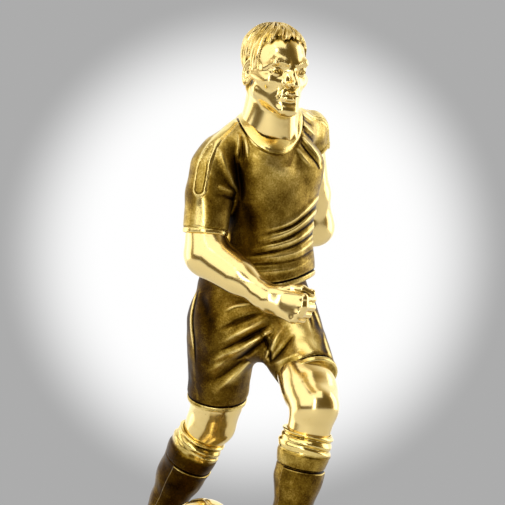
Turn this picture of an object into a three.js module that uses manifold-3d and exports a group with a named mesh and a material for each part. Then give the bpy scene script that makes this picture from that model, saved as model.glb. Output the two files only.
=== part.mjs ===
// A figure trophy: a running footballer with a ball, cast in brass in sections, on a two-stone plinth.
// Millimetres, +Z up. The origin is the centre of the plinth's underside, and the plinth's front faces -Y.
// The figure's right is towards -X. It looks and turns towards the front right corner of the plinth.
import * as THREE from "three";
import { mergeVertices } from "three/addons/utils/BufferGeometryUtils.js";
import Module from "manifold-3d";

const wasm = await Module();
wasm.setup();

// ---------------------------------------------------------------- driving dimensions

const GAP = 0.3; // clearance of every joint, filled by braze or glue
const SEGMENTS = 12; // facets round a limb
const RINGS = 8; // facets from pole to pole of an ovoid
const CAP_STEPS = 3; // facets from the side of a limb to its tip

const FELT = { width: 132, depth: 120, thickness: 1.5 };
const SLAB = { width: 140, depth: 128, height: 11.7, chamfer: 2 };
const BLOCK = { width: 124, depth: 112, height: 28.7, chamfer: 3 };
const TURF = { width: 116, depth: 104, height: 3.2, corner: 10 };

const SLAB_BOTTOM = FELT.thickness + GAP;
const BLOCK_BOTTOM = SLAB_BOTTOM + SLAB.height + GAP;
const TURF_BOTTOM = BLOCK_BOTTOM + BLOCK.height + GAP;
const GROUND = TURF_BOTTOM + TURF.height;

const STUD = { radius: 2, inFigure: 6, end: 3.2 }; // M4 studs under the boots and the ball
const WASHER = { radius: 4.5, bore: 2.3, thickness: 0.8 };
const NUT = { acrossFlats: 7, bore: 2.3, height: 3.2 };
const COUNTERBORE = { radius: 6, depth: 7.2 };
const PIN = { radius: 1, recess: 1.4 }; // cross pins that lock the sections

const PLATE = { width: 62, height: 16, thickness: 1.2, recess: 1 };
const PLATE_PIN = { radius: 0.8, headRadius: 1.7, length: 6, spacing: 54 };

// The figure's joints, from the top face of the turf plate.
const v = (x, y, z) => new THREE.Vector3(x, y, z);
const JOINT = {
  skull: v(21.6, -22, 233),
  neckTop: v(20.8, -18, 217),
  neckBase: v(18.8, -9, 203),
  chest: v(19.5, -8, 184),
  belly: v(17.5, -3, 151),
  pelvis: v(10.6, 0, 124),
  rightShoulder: v(-7.5, -25, 187.5),
  rightElbow: v(-11.4, -27, 149),
  rightWrist: v(18, -47, 128),
  rightFist: v(29, -53, 123.5),
  leftShoulder: v(36.4, 17, 207.6),
  leftElbow: v(43.2, 50, 161),
  leftWrist: v(11.5, 31, 157),
  leftFist: v(2.5, 26, 155.5),
  rightHip: v(-2.3, -3, 117),
  rightKnee: v(-9.2, 17, 68.5),
  rightAnkle: v(-37.6, 46, 15.5),
  leftHip: v(24.5, 3, 118),
  leftKnee: v(39, -32, 78),
  leftAnkle: v(24.5, -22, 12.5),
  rightHem: v(-5.8, 12.5, 79),
  leftHem: v(37.3, -21, 90),
};
const BALL = { radius: 16.7, centre: v(-12.4, 0, 16.7 + GAP) };

// Which way each part of the figure faces, in degrees from straight ahead, turning to its left.
const HEADING = { head: 31, chest: 40, belly: 30, hips: 15, leftFoot: 28, rightFoot: 42 };

const HEAD_HEIGHT = 42;
const SLEEVE_END = { right: 0.8, left: 0.2 }; // share of the upper arm that the sleeve covers
const SOCK_TOP = 0.18; // share of the shin above the sock
const JERSEY_HEM = 136;
const CORE_RADII = [14, 10, 40];
const CLEAT = { radius: 1.7, tip: 1.2, height: 2 };

// ---------------------------------------------------------------- solids

function solidOf(geometry) {
  const g = geometry.index ? geometry : mergeVertices(geometry);
  g.deleteAttribute("normal");
  g.deleteAttribute("uv");
  const merged = mergeVertices(g, 1e-4);
  return new wasm.Manifold(
    new wasm.Mesh({
      numProp: 3,
      vertProperties: merged.attributes.position.array,
      triVerts: new Uint32Array(merged.index.array),
    }),
  );
}

function unite(solids) {
  return solids.reduce((whole, next) => whole.add(next));
}

// Turns a geometry that was made along +Y from the origin, so that it runs from one point towards another.
function aim(geometry, from, to) {
  const direction = to.clone().sub(from).normalize();
  const turn = new THREE.Quaternion().setFromUnitVectors(v(0, 1, 0), direction);
  return geometry.applyQuaternion(turn).translate(from.x, from.y, from.z);
}

// A taper with a ball at each end.
function limb(from, to, fromRadius, toRadius, grow = 0) {
  const ra = fromRadius + grow;
  const rb = toRadius + grow;
  const length = from.distanceTo(to);
  const lean = Math.asin(Math.max(-1, Math.min(1, (ra - rb) / length)));
  const profile = [];
  for (let i = 0; i <= CAP_STEPS; i++) {
    const angle = -Math.PI / 2 + ((lean + Math.PI / 2) * i) / CAP_STEPS;
    profile.push(new THREE.Vector2(ra * Math.cos(angle), ra * Math.sin(angle)));
  }
  for (let i = 0; i <= CAP_STEPS; i++) {
    const angle = lean + ((Math.PI / 2 - lean) * i) / CAP_STEPS;
    profile.push(new THREE.Vector2(rb * Math.cos(angle), length + rb * Math.sin(angle)));
  }
  profile[0].x = 0;
  profile[profile.length - 1].x = 0;
  return solidOf(aim(new THREE.LatheGeometry(profile, SEGMENTS), from, to));
}

// A taper with flat ends.
function taper(from, to, fromRadius, toRadius, grow = 0, sides = SEGMENTS) {
  const length = from.distanceTo(to);
  const g = new THREE.CylinderGeometry(toRadius + grow, fromRadius + grow, length, sides);
  return solidOf(aim(g.translate(0, length / 2, 0), from, to));
}

// An ellipsoid with radii across, fore and aft, and up, turned to its heading.
function ovoid(centre, radii, heading = 0, grow = 0) {
  const g = new THREE.SphereGeometry(1, SEGMENTS, RINGS).rotateX(Math.PI / 2);
  g.scale(radii[0] + grow, radii[1] + grow, radii[2] + grow);
  g.rotateZ(THREE.MathUtils.degToRad(heading));
  return solidOf(g.translate(centre.x, centre.y, centre.z));
}

function block(centre, width, depth, height, heading = 0) {
  const g = new THREE.BoxGeometry(width, depth, height);
  g.rotateZ(THREE.MathUtils.degToRad(heading));
  return solidOf(g.translate(centre.x, centre.y, centre.z));
}

// A plate with cut or round corners and a chamfered top edge, standing on z = 0.
function slab(width, depth, height, chamfer, corner = 0) {
  const w = width / 2 - chamfer;
  const d = depth / 2 - chamfer;
  const outline = new THREE.Shape();
  if (corner > 0) {
    outline.absarc(w - corner, d - corner, corner, 0, Math.PI / 2);
    outline.absarc(corner - w, d - corner, corner, Math.PI / 2, Math.PI);
    outline.absarc(corner - w, corner - d, corner, Math.PI, 1.5 * Math.PI);
    outline.absarc(w - corner, corner - d, corner, 1.5 * Math.PI, 2 * Math.PI);
  } else {
    outline.moveTo(-w, -d).lineTo(w, -d).lineTo(w, d).lineTo(-w, d);
  }
  const g = new THREE.ExtrudeGeometry(outline, {
    depth: height - 2 * chamfer,
    bevelEnabled: chamfer > 0,
    bevelThickness: chamfer,
    bevelSize: chamfer,
    bevelSegments: 1,
    curveSegments: 5,
  });
  return solidOf(g.translate(0, 0, chamfer));
}

const along = (a, b, t) => a.clone().lerp(b, t);

function heading(degrees) {
  const a = THREE.MathUtils.degToRad(degrees);
  return { ahead: v(Math.sin(a), -Math.cos(a), 0), left: v(Math.cos(a), Math.sin(a), 0) };
}

function offset(point, facing, ahead, left, up) {
  return point
    .clone()
    .addScaledVector(facing.ahead, ahead)
    .addScaledVector(facing.left, left)
    .add(v(0, 0, up));
}

// ---------------------------------------------------------------- the figure's sections

// Each shape can be grown by the joint's clearance, to cut the seat it stands in.
function headShape(grow = 0) {
  const h = HEAD_HEIGHT;
  const facing = heading(HEADING.head);
  const at = (ahead, left, up) => offset(JOINT.skull, facing, ahead * h, left * h, up * h);
  return unite([
    ovoid(at(-0.03, 0, 0.1), [0.335 * h, 0.41 * h, 0.4 * h], HEADING.head, grow),
    limb(at(0.14, 0, -0.1), at(0.2, 0, -0.37), 0.27 * h, 0.125 * h, grow),
    limb(at(0.33, 0, 0.04), at(0.41, 0, -0.13), 0.05 * h, 0.07 * h, grow),
    ...[-1, 1].map((side) => ovoid(at(-0.03, side * 0.33, -0.04), [3, 4, 6], HEADING.head, grow)),
    limb(JOINT.neckTop, JOINT.neckBase, 11.5, 12.5, grow),
    ovoid(offset(JOINT.neckBase, heading(HEADING.chest), 5, 0, -5), [13, 9, 9], HEADING.chest, grow),
  ]);
}

function rightArmShape(grow = 0) {
  const { rightShoulder, rightElbow, rightWrist, rightFist } = JOINT;
  return unite([
    limb(along(rightShoulder, rightElbow, 0.5), rightElbow, 8.4, 8.3, grow),
    limb(along(rightElbow, rightWrist, 0.18), rightWrist, 8.4, 6.3, grow),
    limb(rightWrist, rightFist, 6.5, 8, grow),
    ovoid(rightFist.clone().add(v(2, -0.5, -1)), [7, 8, 9], 20, grow),
  ]);
}

function leftArmShape(grow = 0) {
  const { leftShoulder, leftElbow, leftWrist, leftFist } = JOINT;
  return unite([
    limb(along(leftShoulder, leftElbow, 0.16), leftElbow, 8, 7.9, grow),
    limb(along(leftElbow, leftWrist, 0.15), leftWrist, 8, 6, grow),
    limb(leftWrist, leftFist, 6.3, 7.6, grow),
  ]);
}

function torsoShape(grow = 0) {
  const { rightShoulder, leftShoulder, neckBase, chest, belly, pelvis } = JOINT;
  return unite([
    limb(rightShoulder, leftShoulder, 10.3, 10.2, grow),
    ovoid(chest, [25, 17.5, 27], HEADING.chest, grow),
    limb(neckBase, along(neckBase, rightShoulder, 0.72), 12.5, 9.5, grow),
    limb(neckBase, along(neckBase, leftShoulder, 0.72), 12.5, 9.5, grow),
    ovoid(offset(chest, heading(HEADING.chest), -5, 0, 12), [23, 13, 17], HEADING.chest, grow),
    ovoid(belly, [20.5, 15.5, 31], HEADING.belly, grow),
    ovoid(pelvis.clone().add(v(1, 0, 14)), [27.4, 20.5, 20], HEADING.hips, grow),
  ]);
}

// The hollow that the foundry's core leaves in the two large castings. It is open at the waist.
function coreShape() {
  return ovoid(JOINT.belly.clone().add(v(-1, 0, -8)), CORE_RADII, HEADING.belly);
}

function jerseyShape() {
  const { rightShoulder, rightElbow, leftShoulder, leftElbow } = JOINT;
  const hemCut = block(v(10, 0, JERSEY_HEM - 30), 90, 80, 60);
  return unite([
    torsoShape().subtract(hemCut),
    taper(rightShoulder, along(rightShoulder, rightElbow, SLEEVE_END.right), 10.8, 11.2),
    taper(leftShoulder, along(leftShoulder, leftElbow, SLEEVE_END.left), 10.4, 10.2),
  ]);
}

function shortsShape(grow = 0) {
  const { pelvis, rightHip, rightHem, leftHip, leftHem } = JOINT;
  return unite([
    ovoid(pelvis.clone().add(v(0, 0, 3)), [26.5, 19.5, 27], HEADING.hips, grow),
    ovoid(pelvis.clone().add(v(0, 1, -8)), [29.5, 21, 20], HEADING.hips, grow),
    taper(rightHip, rightHem, 17.5, 13.6, grow),
    taper(leftHip, leftHem, 17.5, 13.8, grow),
  ]);
}

function kneeShape(hip, knee, ankle, grow = 0) {
  return unite([
    limb(along(hip, knee, 0.55), knee, 11.5, 10.6, grow),
    limb(knee, along(knee, ankle, 0.26), 10.4, 8.6, grow),
  ]);
}

function sockShape(knee, ankle, grow = 0) {
  const top = along(knee, ankle, SOCK_TOP);
  const calf = along(knee, ankle, 0.42);
  return unite([
    taper(top, calf, 11.8, 11.4, grow),
    limb(calf, along(knee, ankle, 0.75), 11, 7.8, grow),
    limb(along(knee, ankle, 0.75), ankle, 7.8, 6.6, grow),
  ]);
}

// A boot from its heel to its toe. Pitch lifts the heel, and the sole stands on its cleats.
function bootShape(ankle, degrees, lift) {
  const facing = heading(degrees);
  const toe = offset(ankle, facing, 31, 0, -ankle.z + 7.2);
  const ball = offset(ankle, facing, 22, 0, -ankle.z + 8);
  const heel = offset(ankle, facing, -6, 0, -7 + lift * 0.35);
  const body = unite([
    limb(ankle, offset(ankle, facing, 1, 0, -4), 8, 8.2),
    limb(heel, ball, 6.2, 7.4),
    limb(ball, toe, 7.4, 5),
    limb(ankle, ball, 7.6, 6.6),
  ]);
  const sole = block(v(ankle.x, ankle.y, CLEAT.height - 40), 160, 160, 80);
  return body.subtract(sole);
}

function cleats(ankle, degrees, spots) {
  const facing = heading(degrees);
  return spots.map(([ahead, left, top]) => {
    const tip = offset(ankle, facing, ahead, left, GAP - ankle.z);
    return taper(tip, tip.clone().add(v(0, 0, top)), CLEAT.tip, CLEAT.radius, 0, 6);
  });
}

const LEFT_CLEATS = [
  [-7, 3, 4], [-7, -3, 4], [17, 4.6, 4], [17, -4.6, 4], [27, 4, 4], [27, -4, 4],
];
const RIGHT_CLEATS = [
  [18, 4.6, 4], [18, -4.6, 4], [27, 4, 4], [27, -4, 4],
];

// ---------------------------------------------------------------- fastenings

// Cross pins: a point on the limb's axis, the way out to the surface, and how far out the pin starts.
const { rightShoulder, rightElbow, leftShoulder, leftElbow } = JOINT;
const { rightHip, rightKnee, rightAnkle, leftHip, leftKnee, leftAnkle } = JOINT;
const back = v(0, 1, 0);
const PINS = {
  neck_pin: { axis: v(16, -8, 199), out: heading(HEADING.chest).ahead.negate(), reach: 13 },
  right_arm_pin: { axis: along(rightShoulder, rightElbow, 0.66), out: v(-1, 0, 0), reach: 11 },
  left_arm_pin: { axis: along(leftShoulder, leftElbow, 0.1), out: v(1, 0, 0), reach: 10.2 },
  right_thigh_pin: { axis: along(rightHip, rightKnee, 0.68), out: back, reach: 14 },
  left_thigh_pin: { axis: along(leftHip, leftKnee, 0.62), out: back, reach: 15 },
  right_sock_pin: { axis: along(rightKnee, rightAnkle, 0.27), out: back, reach: 11 },
  left_sock_pin: { axis: along(leftKnee, leftAnkle, 0.27), out: back, reach: 11 },
  right_boot_pin: { axis: rightAnkle, out: heading(HEADING.rightFoot).left.negate(), reach: 7.6 },
  left_boot_pin: { axis: leftAnkle, out: heading(HEADING.leftFoot).left, reach: 8 },
};

function pinSolid({ axis, out, reach }, grow = 0) {
  const start = axis.clone().addScaledVector(out, grow ? reach + 8 : reach - PIN.recess);
  const end = axis.clone().addScaledVector(out, -1 - grow);
  return taper(start, end, PIN.radius, PIN.radius, grow, 10);
}

const drill = (solid, name) => solid.subtract(pinSolid(PINS[name], GAP));

// Screws through the back of the jersey's hem into the shorts.
const WAIST_SCREW = { radius: 1.5, headRadius: 2.7, headHeight: 1.6, height: 139.5 };
const waistScrews = [-1, 1].map((side) => {
  const facing = heading(HEADING.hips);
  const axis = offset(v(10.6, 0, WAIST_SCREW.height), facing, 0, side * 9, 0);
  const out = facing.ahead.clone().negate();
  return { axis, out };
});

function waistScrew({ axis, out }, grow = 0) {
  const head = axis.clone().addScaledVector(out, 18.2);
  const neck = axis.clone().addScaledVector(out, 18.2 - WAIST_SCREW.headHeight - grow);
  const outer = grow ? axis.clone().addScaledVector(out, 30) : head;
  return unite([
    taper(neck, outer, WAIST_SCREW.headRadius, WAIST_SCREW.headRadius, grow, 12),
    taper(axis.clone().addScaledVector(out, 12 - grow), head, 1.5, 1.5, grow, 10),
  ]);
}

// Studs: where each goes down from the boots and the ball, and how far it reaches up into them.
const STUDS = {
  right_boot: offset(rightAnkle, heading(HEADING.rightFoot), 23, 0, 0),
  left_boot: offset(leftAnkle, heading(HEADING.leftFoot), 10, 0, 0),
  ball: BALL.centre.clone(),
};

// In the trophy's own frame, unlike the figure's sections.
function studSolid(spot, grow = 0) {
  const bottom = v(spot.x, spot.y, STUD.end - (grow ? 10 : 0));
  const top = v(spot.x, spot.y, GROUND + STUD.inFigure + grow);
  return taper(bottom, top, STUD.radius, STUD.radius, grow, 12);
}

function boltHoles(solid) {
  return Object.values(STUDS).reduce((whole, spot) => whole.subtract(studSolid(spot, GAP)), solid);
}

// ---------------------------------------------------------------- assembly

const MATERIALS = {
  polished_brass: { color: 0xdfb95a, roughness: 0.14, metalness: 1 },
  patinated_brass: { color: 0x8a6f36, roughness: 0.36, metalness: 1 },
  black_stone: { color: 0x16171a, roughness: 0.18, metalness: 0 },
  green_stone: { color: 0x24483a, roughness: 0.22, metalness: 0 },
  felt: { color: 0x1c3a2a, roughness: 0.95, metalness: 0 },
  steel: { color: 0xb9bcc0, roughness: 0.35, metalness: 1 },
};
const material = Object.fromEntries(
  Object.entries(MATERIALS).map(([name, look]) => [name, new THREE.MeshStandardMaterial(look)]),
);

const trophy = new THREE.Group();
const figure = new THREE.Group();
figure.position.z = GROUND;
trophy.add(figure);

function place(group, name, solid, slot) {
  const { numProp, vertProperties, triVerts } = solid.getMesh();
  const position = new Float32Array((vertProperties.length / numProp) * 3);
  for (let i = 0; i < position.length / 3; i++) {
    position.set(vertProperties.subarray(i * numProp, i * numProp + 3), i * 3);
  }
  const g = new THREE.BufferGeometry();
  g.setAttribute("position", new THREE.BufferAttribute(position, 3));
  g.setIndex(new THREE.BufferAttribute(triVerts, 1));
  g.computeVertexNormals();
  const mesh = new THREE.Mesh(g, material[slot]);
  mesh.name = name;
  group.add(mesh);
}

const rightSide = [rightHip, rightKnee, rightAnkle];
const leftSide = [leftHip, leftKnee, leftAnkle];

function addHead() {
  place(figure, "head_casting", drill(headShape(), "neck_pin"), "polished_brass");
}

function addJersey() {
  let jersey = jerseyShape().subtract(coreShape());
  for (const shape of [headShape, rightArmShape, leftArmShape, shortsShape]) {
    jersey = jersey.subtract(shape(GAP));
  }
  for (const name of ["neck_pin", "right_arm_pin", "left_arm_pin"]) jersey = drill(jersey, name);
  for (const screw of waistScrews) jersey = jersey.subtract(waistScrew(screw, GAP));
  place(figure, "jersey_casting", jersey, "patinated_brass");
}

function addArms() {
  const rightArm = drill(rightArmShape(), "right_arm_pin");
  const leftArm = drill(leftArmShape(), "left_arm_pin");
  place(figure, "right_arm_casting", rightArm, "polished_brass");
  place(figure, "left_arm_casting", leftArm, "polished_brass");
}

function addShorts() {
  let shorts = shortsShape().subtract(coreShape());
  shorts = shorts.subtract(kneeShape(...rightSide, GAP)).subtract(kneeShape(...leftSide, GAP));
  for (const name of ["right_thigh_pin", "left_thigh_pin"]) shorts = drill(shorts, name);
  for (const screw of waistScrews) shorts = shorts.subtract(waistScrew(screw, GAP));
  place(figure, "shorts_casting", shorts, "patinated_brass");
}

function addLegs() {
  const legs = [
    { side: "right", bones: rightSide, facing: HEADING.rightFoot, spots: RIGHT_CLEATS, lift: 9 },
    { side: "left", bones: leftSide, facing: HEADING.leftFoot, spots: LEFT_CLEATS, lift: 0 },
  ];
  for (const { side, bones, facing, spots, lift } of legs) {
    const [, knee, ankle] = bones;
    const bare = drill(drill(kneeShape(...bones), `${side}_thigh_pin`), `${side}_sock_pin`);
    let sock = sockShape(knee, ankle).subtract(kneeShape(...bones, GAP));
    sock = drill(drill(sock, `${side}_sock_pin`), `${side}_boot_pin`);
    let boot = unite([bootShape(ankle, facing, lift), ...cleats(ankle, facing, spots)]);
    boot = drill(boot.subtract(sockShape(knee, ankle, GAP)), `${side}_boot_pin`);
    const stud = studSolid(STUDS[`${side}_boot`], GAP).translate([0, 0, -GROUND]);
    place(figure, `${side}_knee_casting`, bare, "polished_brass");
    place(figure, `${side}_sock_casting`, sock, "patinated_brass");
    place(figure, `${side}_boot_casting`, boot.subtract(stud), "patinated_brass");
  }
}

function addBall() {
  const sphere = new THREE.SphereGeometry(BALL.radius, 24, 14).rotateX(Math.PI / 2);
  const { x, y, z } = BALL.centre;
  const stud = studSolid(STUDS.ball, GAP).translate([0, 0, -GROUND]);
  place(figure, "ball_casting", solidOf(sphere.translate(x, y, z)).subtract(stud), "polished_brass");
}

function addPins() {
  for (const [name, pin] of Object.entries(PINS)) {
    place(figure, name, pinSolid(pin), "steel");
  }
  waistScrews.forEach((screw, i) => {
    place(figure, `waist_screw_${["right", "left"][i]}`, waistScrew(screw), "steel");
  });
}

function addPlinth() {
  const turf = slab(TURF.width, TURF.depth, TURF.height, 0.8, TURF.corner);
  place(trophy, "turf_plate", boltHoles(turf.translate([0, 0, TURF_BOTTOM])), "patinated_brass");

  const seatSize = [PLATE.width + 2 * GAP, 2 * PLATE.recess, PLATE.height + 2 * GAP];
  const seat = block(v(0, -BLOCK.depth / 2, plateHeight()), ...seatSize);
  let stone = slab(BLOCK.width, BLOCK.depth, BLOCK.height, BLOCK.chamfer);
  stone = boltHoles(stone.translate([0, 0, BLOCK_BOTTOM])).subtract(seat);
  for (const x of platePinSpots()) stone = stone.subtract(platePin(x, GAP));
  place(trophy, "plinth_block", stone, "green_stone");

  let base = slab(SLAB.width, SLAB.depth, SLAB.height, SLAB.chamfer).translate([0, 0, SLAB_BOTTOM]);
  base = boltHoles(base);
  for (const spot of Object.values(STUDS)) {
    const low = v(spot.x, spot.y, 0);
    const high = v(spot.x, spot.y, SLAB_BOTTOM + COUNTERBORE.depth);
    base = base.subtract(taper(low, high, COUNTERBORE.radius, COUNTERBORE.radius, 0, 24));
  }
  place(trophy, "plinth_slab", base, "black_stone");

  const felt = slab(FELT.width, FELT.depth, FELT.thickness, 0);
  place(trophy, "felt_pad", felt, "felt");
}

const plateHeight = () => BLOCK_BOTTOM + BLOCK.height / 2;
const plateFront = () => -BLOCK.depth / 2 + PLATE.recess - GAP - PLATE.thickness;
const platePinSpots = () => [-PLATE_PIN.spacing / 2, PLATE_PIN.spacing / 2];

// A pin with a domed head, driven through the name plate into the stone.
function platePin(x, grow = 0) {
  const tip = v(x, plateFront() + PLATE_PIN.length + grow, plateHeight());
  const neck = v(x, plateFront() - GAP, plateHeight());
  const shank = taper(tip, neck, PLATE_PIN.radius, PLATE_PIN.radius, grow, 10);
  if (grow) return shank;
  const head = new THREE.SphereGeometry(PLATE_PIN.headRadius, 12, 8).scale(1, 0.55, 1);
  const dome = solidOf(head.translate(neck.x, neck.y, neck.z));
  const behind = block(v(x, neck.y + 5, neck.z), 10, 10, 10);
  return shank.add(dome.subtract(behind));
}

function addNamePlate() {
  const centre = v(0, plateFront() + PLATE.thickness / 2, plateHeight());
  let plate = block(centre, PLATE.width, PLATE.thickness, PLATE.height);
  for (const x of platePinSpots()) plate = plate.subtract(platePin(x, GAP));
  place(trophy, "name_plate", plate, "polished_brass");
  platePinSpots().forEach((x, i) => {
    place(trophy, `name_plate_pin_${["right", "left"][i]}`, platePin(x), "polished_brass");
  });
}

function addStuds() {
  const seat = SLAB_BOTTOM + COUNTERBORE.depth - GAP;
  for (const [name, spot] of Object.entries(STUDS)) {
    place(trophy, `${name}_stud`, studSolid(spot), "steel");
    const bore = taper(v(spot.x, spot.y, 0), v(spot.x, spot.y, 20), WASHER.bore, WASHER.bore, 0, 16);
    const under = v(spot.x, spot.y, seat - WASHER.thickness);
    const washer = taper(under, v(spot.x, spot.y, seat), WASHER.radius, WASHER.radius, 0, 24);
    place(trophy, `${name}_washer`, washer.subtract(bore), "steel");
    const nutTop = v(spot.x, spot.y, under.z - GAP);
    const nutBottom = v(spot.x, spot.y, nutTop.z - NUT.height);
    const corner = NUT.acrossFlats / Math.sqrt(3);
    const nut = taper(nutBottom, nutTop, corner, corner, 0, 6).subtract(bore);
    place(trophy, `${name}_nut`, nut, "steel");
  }
}

addHead();
addJersey();
addArms();
addShorts();
addLegs();
addBall();
addPins();
addPlinth();
addNamePlate();
addStuds();

export default trophy;
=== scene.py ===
"""Looks of the figure trophy: each casting is a distance field, meshed, with a metal finish of its own.

Sculpting is in millimetres from the top of the turf plate. X goes right for a viewer in front, Y away, Z up.
"""

import itertools
import math

import bpy
import numpy as np
import openvdb as vdb
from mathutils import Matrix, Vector

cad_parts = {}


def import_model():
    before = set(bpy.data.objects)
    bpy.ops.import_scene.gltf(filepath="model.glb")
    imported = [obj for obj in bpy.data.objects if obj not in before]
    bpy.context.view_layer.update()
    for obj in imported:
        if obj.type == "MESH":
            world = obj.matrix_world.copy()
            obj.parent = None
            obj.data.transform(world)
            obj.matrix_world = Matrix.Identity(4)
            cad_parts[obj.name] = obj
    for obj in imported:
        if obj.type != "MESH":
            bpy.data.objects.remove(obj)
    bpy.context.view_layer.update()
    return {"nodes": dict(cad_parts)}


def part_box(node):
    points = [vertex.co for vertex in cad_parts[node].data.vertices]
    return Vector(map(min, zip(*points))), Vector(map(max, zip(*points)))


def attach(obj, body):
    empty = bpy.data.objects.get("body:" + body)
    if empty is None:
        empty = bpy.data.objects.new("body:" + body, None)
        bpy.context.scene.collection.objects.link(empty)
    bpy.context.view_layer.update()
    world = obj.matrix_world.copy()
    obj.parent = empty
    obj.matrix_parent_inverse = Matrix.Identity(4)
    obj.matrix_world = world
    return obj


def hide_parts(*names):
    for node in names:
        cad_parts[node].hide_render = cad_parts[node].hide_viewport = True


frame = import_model()

MM = 0.001
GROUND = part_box("turf_plate")[1].z / MM
AHEAD = np.array([0.34, -0.94], np.float32)  # which way the figure's front faces, seen from above


# ---- distance fields


def vec(*xyz):
    return np.array(xyz, np.float32)


def unit(direction):
    return (direction / np.linalg.norm(direction)).astype(np.float32)


def mix(a, b, t):
    return (a + (b - a) * t).astype(np.float32)


def size(p):
    return np.sqrt(np.einsum("ij,ij->i", p, p))


def step(value, low, high):
    """0 below low, 1 above high, smooth between."""
    t = np.clip((value - low) / (high - low), 0, 1)
    return t * t * (3 - 2 * t)


def bump(distance, width):
    return np.exp(-((distance / width) ** 2))


class Place:
    """A centre with directions to the figure's left, ahead and up. Lean tips it forward."""

    def __init__(self, centre, heading=0.0, lean=0.0, axes=None):
        self.centre = centre
        turn, tip = math.radians(heading), math.radians(lean)
        left = vec(math.cos(turn), math.sin(turn), 0)
        level = vec(math.sin(turn), -math.cos(turn), 0)
        ahead = level * math.cos(tip) - vec(0, 0, math.sin(tip))
        up = level * math.sin(tip) + vec(0, 0, math.cos(tip))
        self.axes = np.stack([left, ahead, up] if axes is None else axes).astype(np.float32)

    def local(self, p):
        return (p - self.centre) @ self.axes.T

    def point(self, left, ahead, up):
        return self.centre + vec(left, ahead, up) @ self.axes


def ovoid(p, centre, radii):
    radii = np.asarray(radii, np.float32)
    q = (p - np.asarray(centre, np.float32)) / radii
    near = size(q)
    return near * (near - 1) / np.maximum(size(q / radii), 1e-5)


def bone(p, a, b, ra, rb, flat=None):
    """A taper with round ends. flat is a direction and how many times thinner it is that way."""
    a, b = np.asarray(a, np.float32), np.asarray(b, np.float32)
    ab = b - a
    t = np.clip((p - a) @ ab / (ab @ ab), 0, 1)
    off = p - a - t[:, None] * ab
    if flat is not None:
        direction, times = flat
        off = off + ((times - 1) * (off @ direction))[:, None] * direction
    return size(off) - (ra + (rb - ra) * t)


def chain(p, points, radii, k=1.0, flat=None):
    d = None
    for i in range(len(points) - 1):
        d = join(d, bone(p, points[i], points[i + 1], radii[i], radii[i + 1], flat), k)
    return d


def join(a, b, k=1.0):
    if a is None:
        return b
    h = np.clip(0.5 + 0.5 * (b - a) / k, 0, 1)
    return b + (a - b) * h - k * h * (1 - h)


def both(a, b, k=1.0):
    return -join(-a, -b, k)


def cut(a, b, k=1.0):
    return -join(-a, b, k)


# large odd numbers that scatter a cell's x, y, z and a seed over all whole numbers
HASH = (73856093, 19349663, 83492791, 2654435)
SCATTER = (15731, 789221, 1376312589)


def noise(p, seed=0):
    """Smooth random lumps between -1 and 1, one to the unit."""
    cell = np.floor(p).astype(np.int64)
    f = p - cell
    f = f * f * (3 - 2 * f)
    total = np.zeros(len(p), np.float32)
    for corner in itertools.product((0, 1), repeat=3):
        x, y, z = (cell + np.array(corner)).T
        h = (x * HASH[0]) ^ (y * HASH[1]) ^ (z * HASH[2]) ^ (seed * HASH[3])
        h = (h * (h * h * SCATTER[0] + SCATTER[1]) + SCATTER[2]) & 0x7FFFFFFF
        w = np.prod([f[:, i] if corner[i] else 1 - f[:, i] for i in range(3)], axis=0)
        total += w * (h / 2**30 - 1)
    return total


def rough(p, scale, octaves=3, seed=0):
    total, amount = np.zeros(len(p), np.float32), 1.0
    for i in range(octaves):
        total += amount * noise(p / scale, seed + i)
        scale, amount = scale / 2, amount / 2
    return total


def smooth_curve(points, per_span=4):
    """A Catmull-Rom curve through the points."""
    points = np.asarray(points, np.float32)
    if len(points) < 3:
        return points
    ends = np.vstack([2 * points[0] - points[1], points, 2 * points[-1] - points[-2]])
    out = []
    for i in range(1, len(points)):
        a, b, c, d = ends[i - 1], ends[i], ends[i + 1], ends[i + 2]
        for t in np.arange(per_span) / per_span:
            out.append(0.5 * (2 * b + (c - a) * t + (2 * a - 5 * b + 4 * c - d) * t**2
                              + (3 * b - a - 3 * c + d) * t**3))
    return np.array(out + [points[-1]], np.float32)


def course(p, points):
    """Distance to a run of straight stretches, and how far along it, from 0 to 1."""
    lengths = np.linalg.norm(np.diff(points, axis=0), axis=1)
    starts = np.concatenate([[0], np.cumsum(lengths)])
    best = np.full(len(p), 1e9, np.float32)
    where = np.zeros(len(p), np.float32)
    for i, span in enumerate(lengths):
        ab = points[i + 1] - points[i]
        t = np.clip((p - points[i]) @ ab / (ab @ ab), 0, 1)
        d = size(p - points[i] - t[:, None] * ab)
        nearer = d < best
        best = np.where(nearer, d, best)
        where = np.where(nearer, (starts[i] + t * span) / starts[-1], where)
    return best, where


def relief(p, folds, centre):
    """Height of folds drawn as seen from the front, and of those drawn as seen from behind.

    Each is (points, width, height at the start, height at the end). A negative height is a valley.
    """
    total = np.zeros(len(p), np.float32)
    flat = p[:, [0, 2]]
    facing = (p[:, :2] - centre[:2]) @ AHEAD
    for side, curves in ((facing, folds["front"]), (-facing, folds.get("back", ()))):
        for points, width, first, last in curves:
            line = smooth_curve(points)
            low, high = line.min(0) - 3 * width, line.max(0) + 3 * width
            near = np.flatnonzero((flat > low).all(1) & (flat < high).all(1) & (side > -4))
            d, t = course(flat[near], line)
            ends = np.clip(np.sin(np.pi * t), 0, 1) ** 0.75
            height = bump(d, width * (0.6 + 0.4 * ends)) * mix(first, last, t)
            total[near] += height * ends * step(side[near], -4, 2)
    return total


# ---- from a field to a mesh


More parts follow.
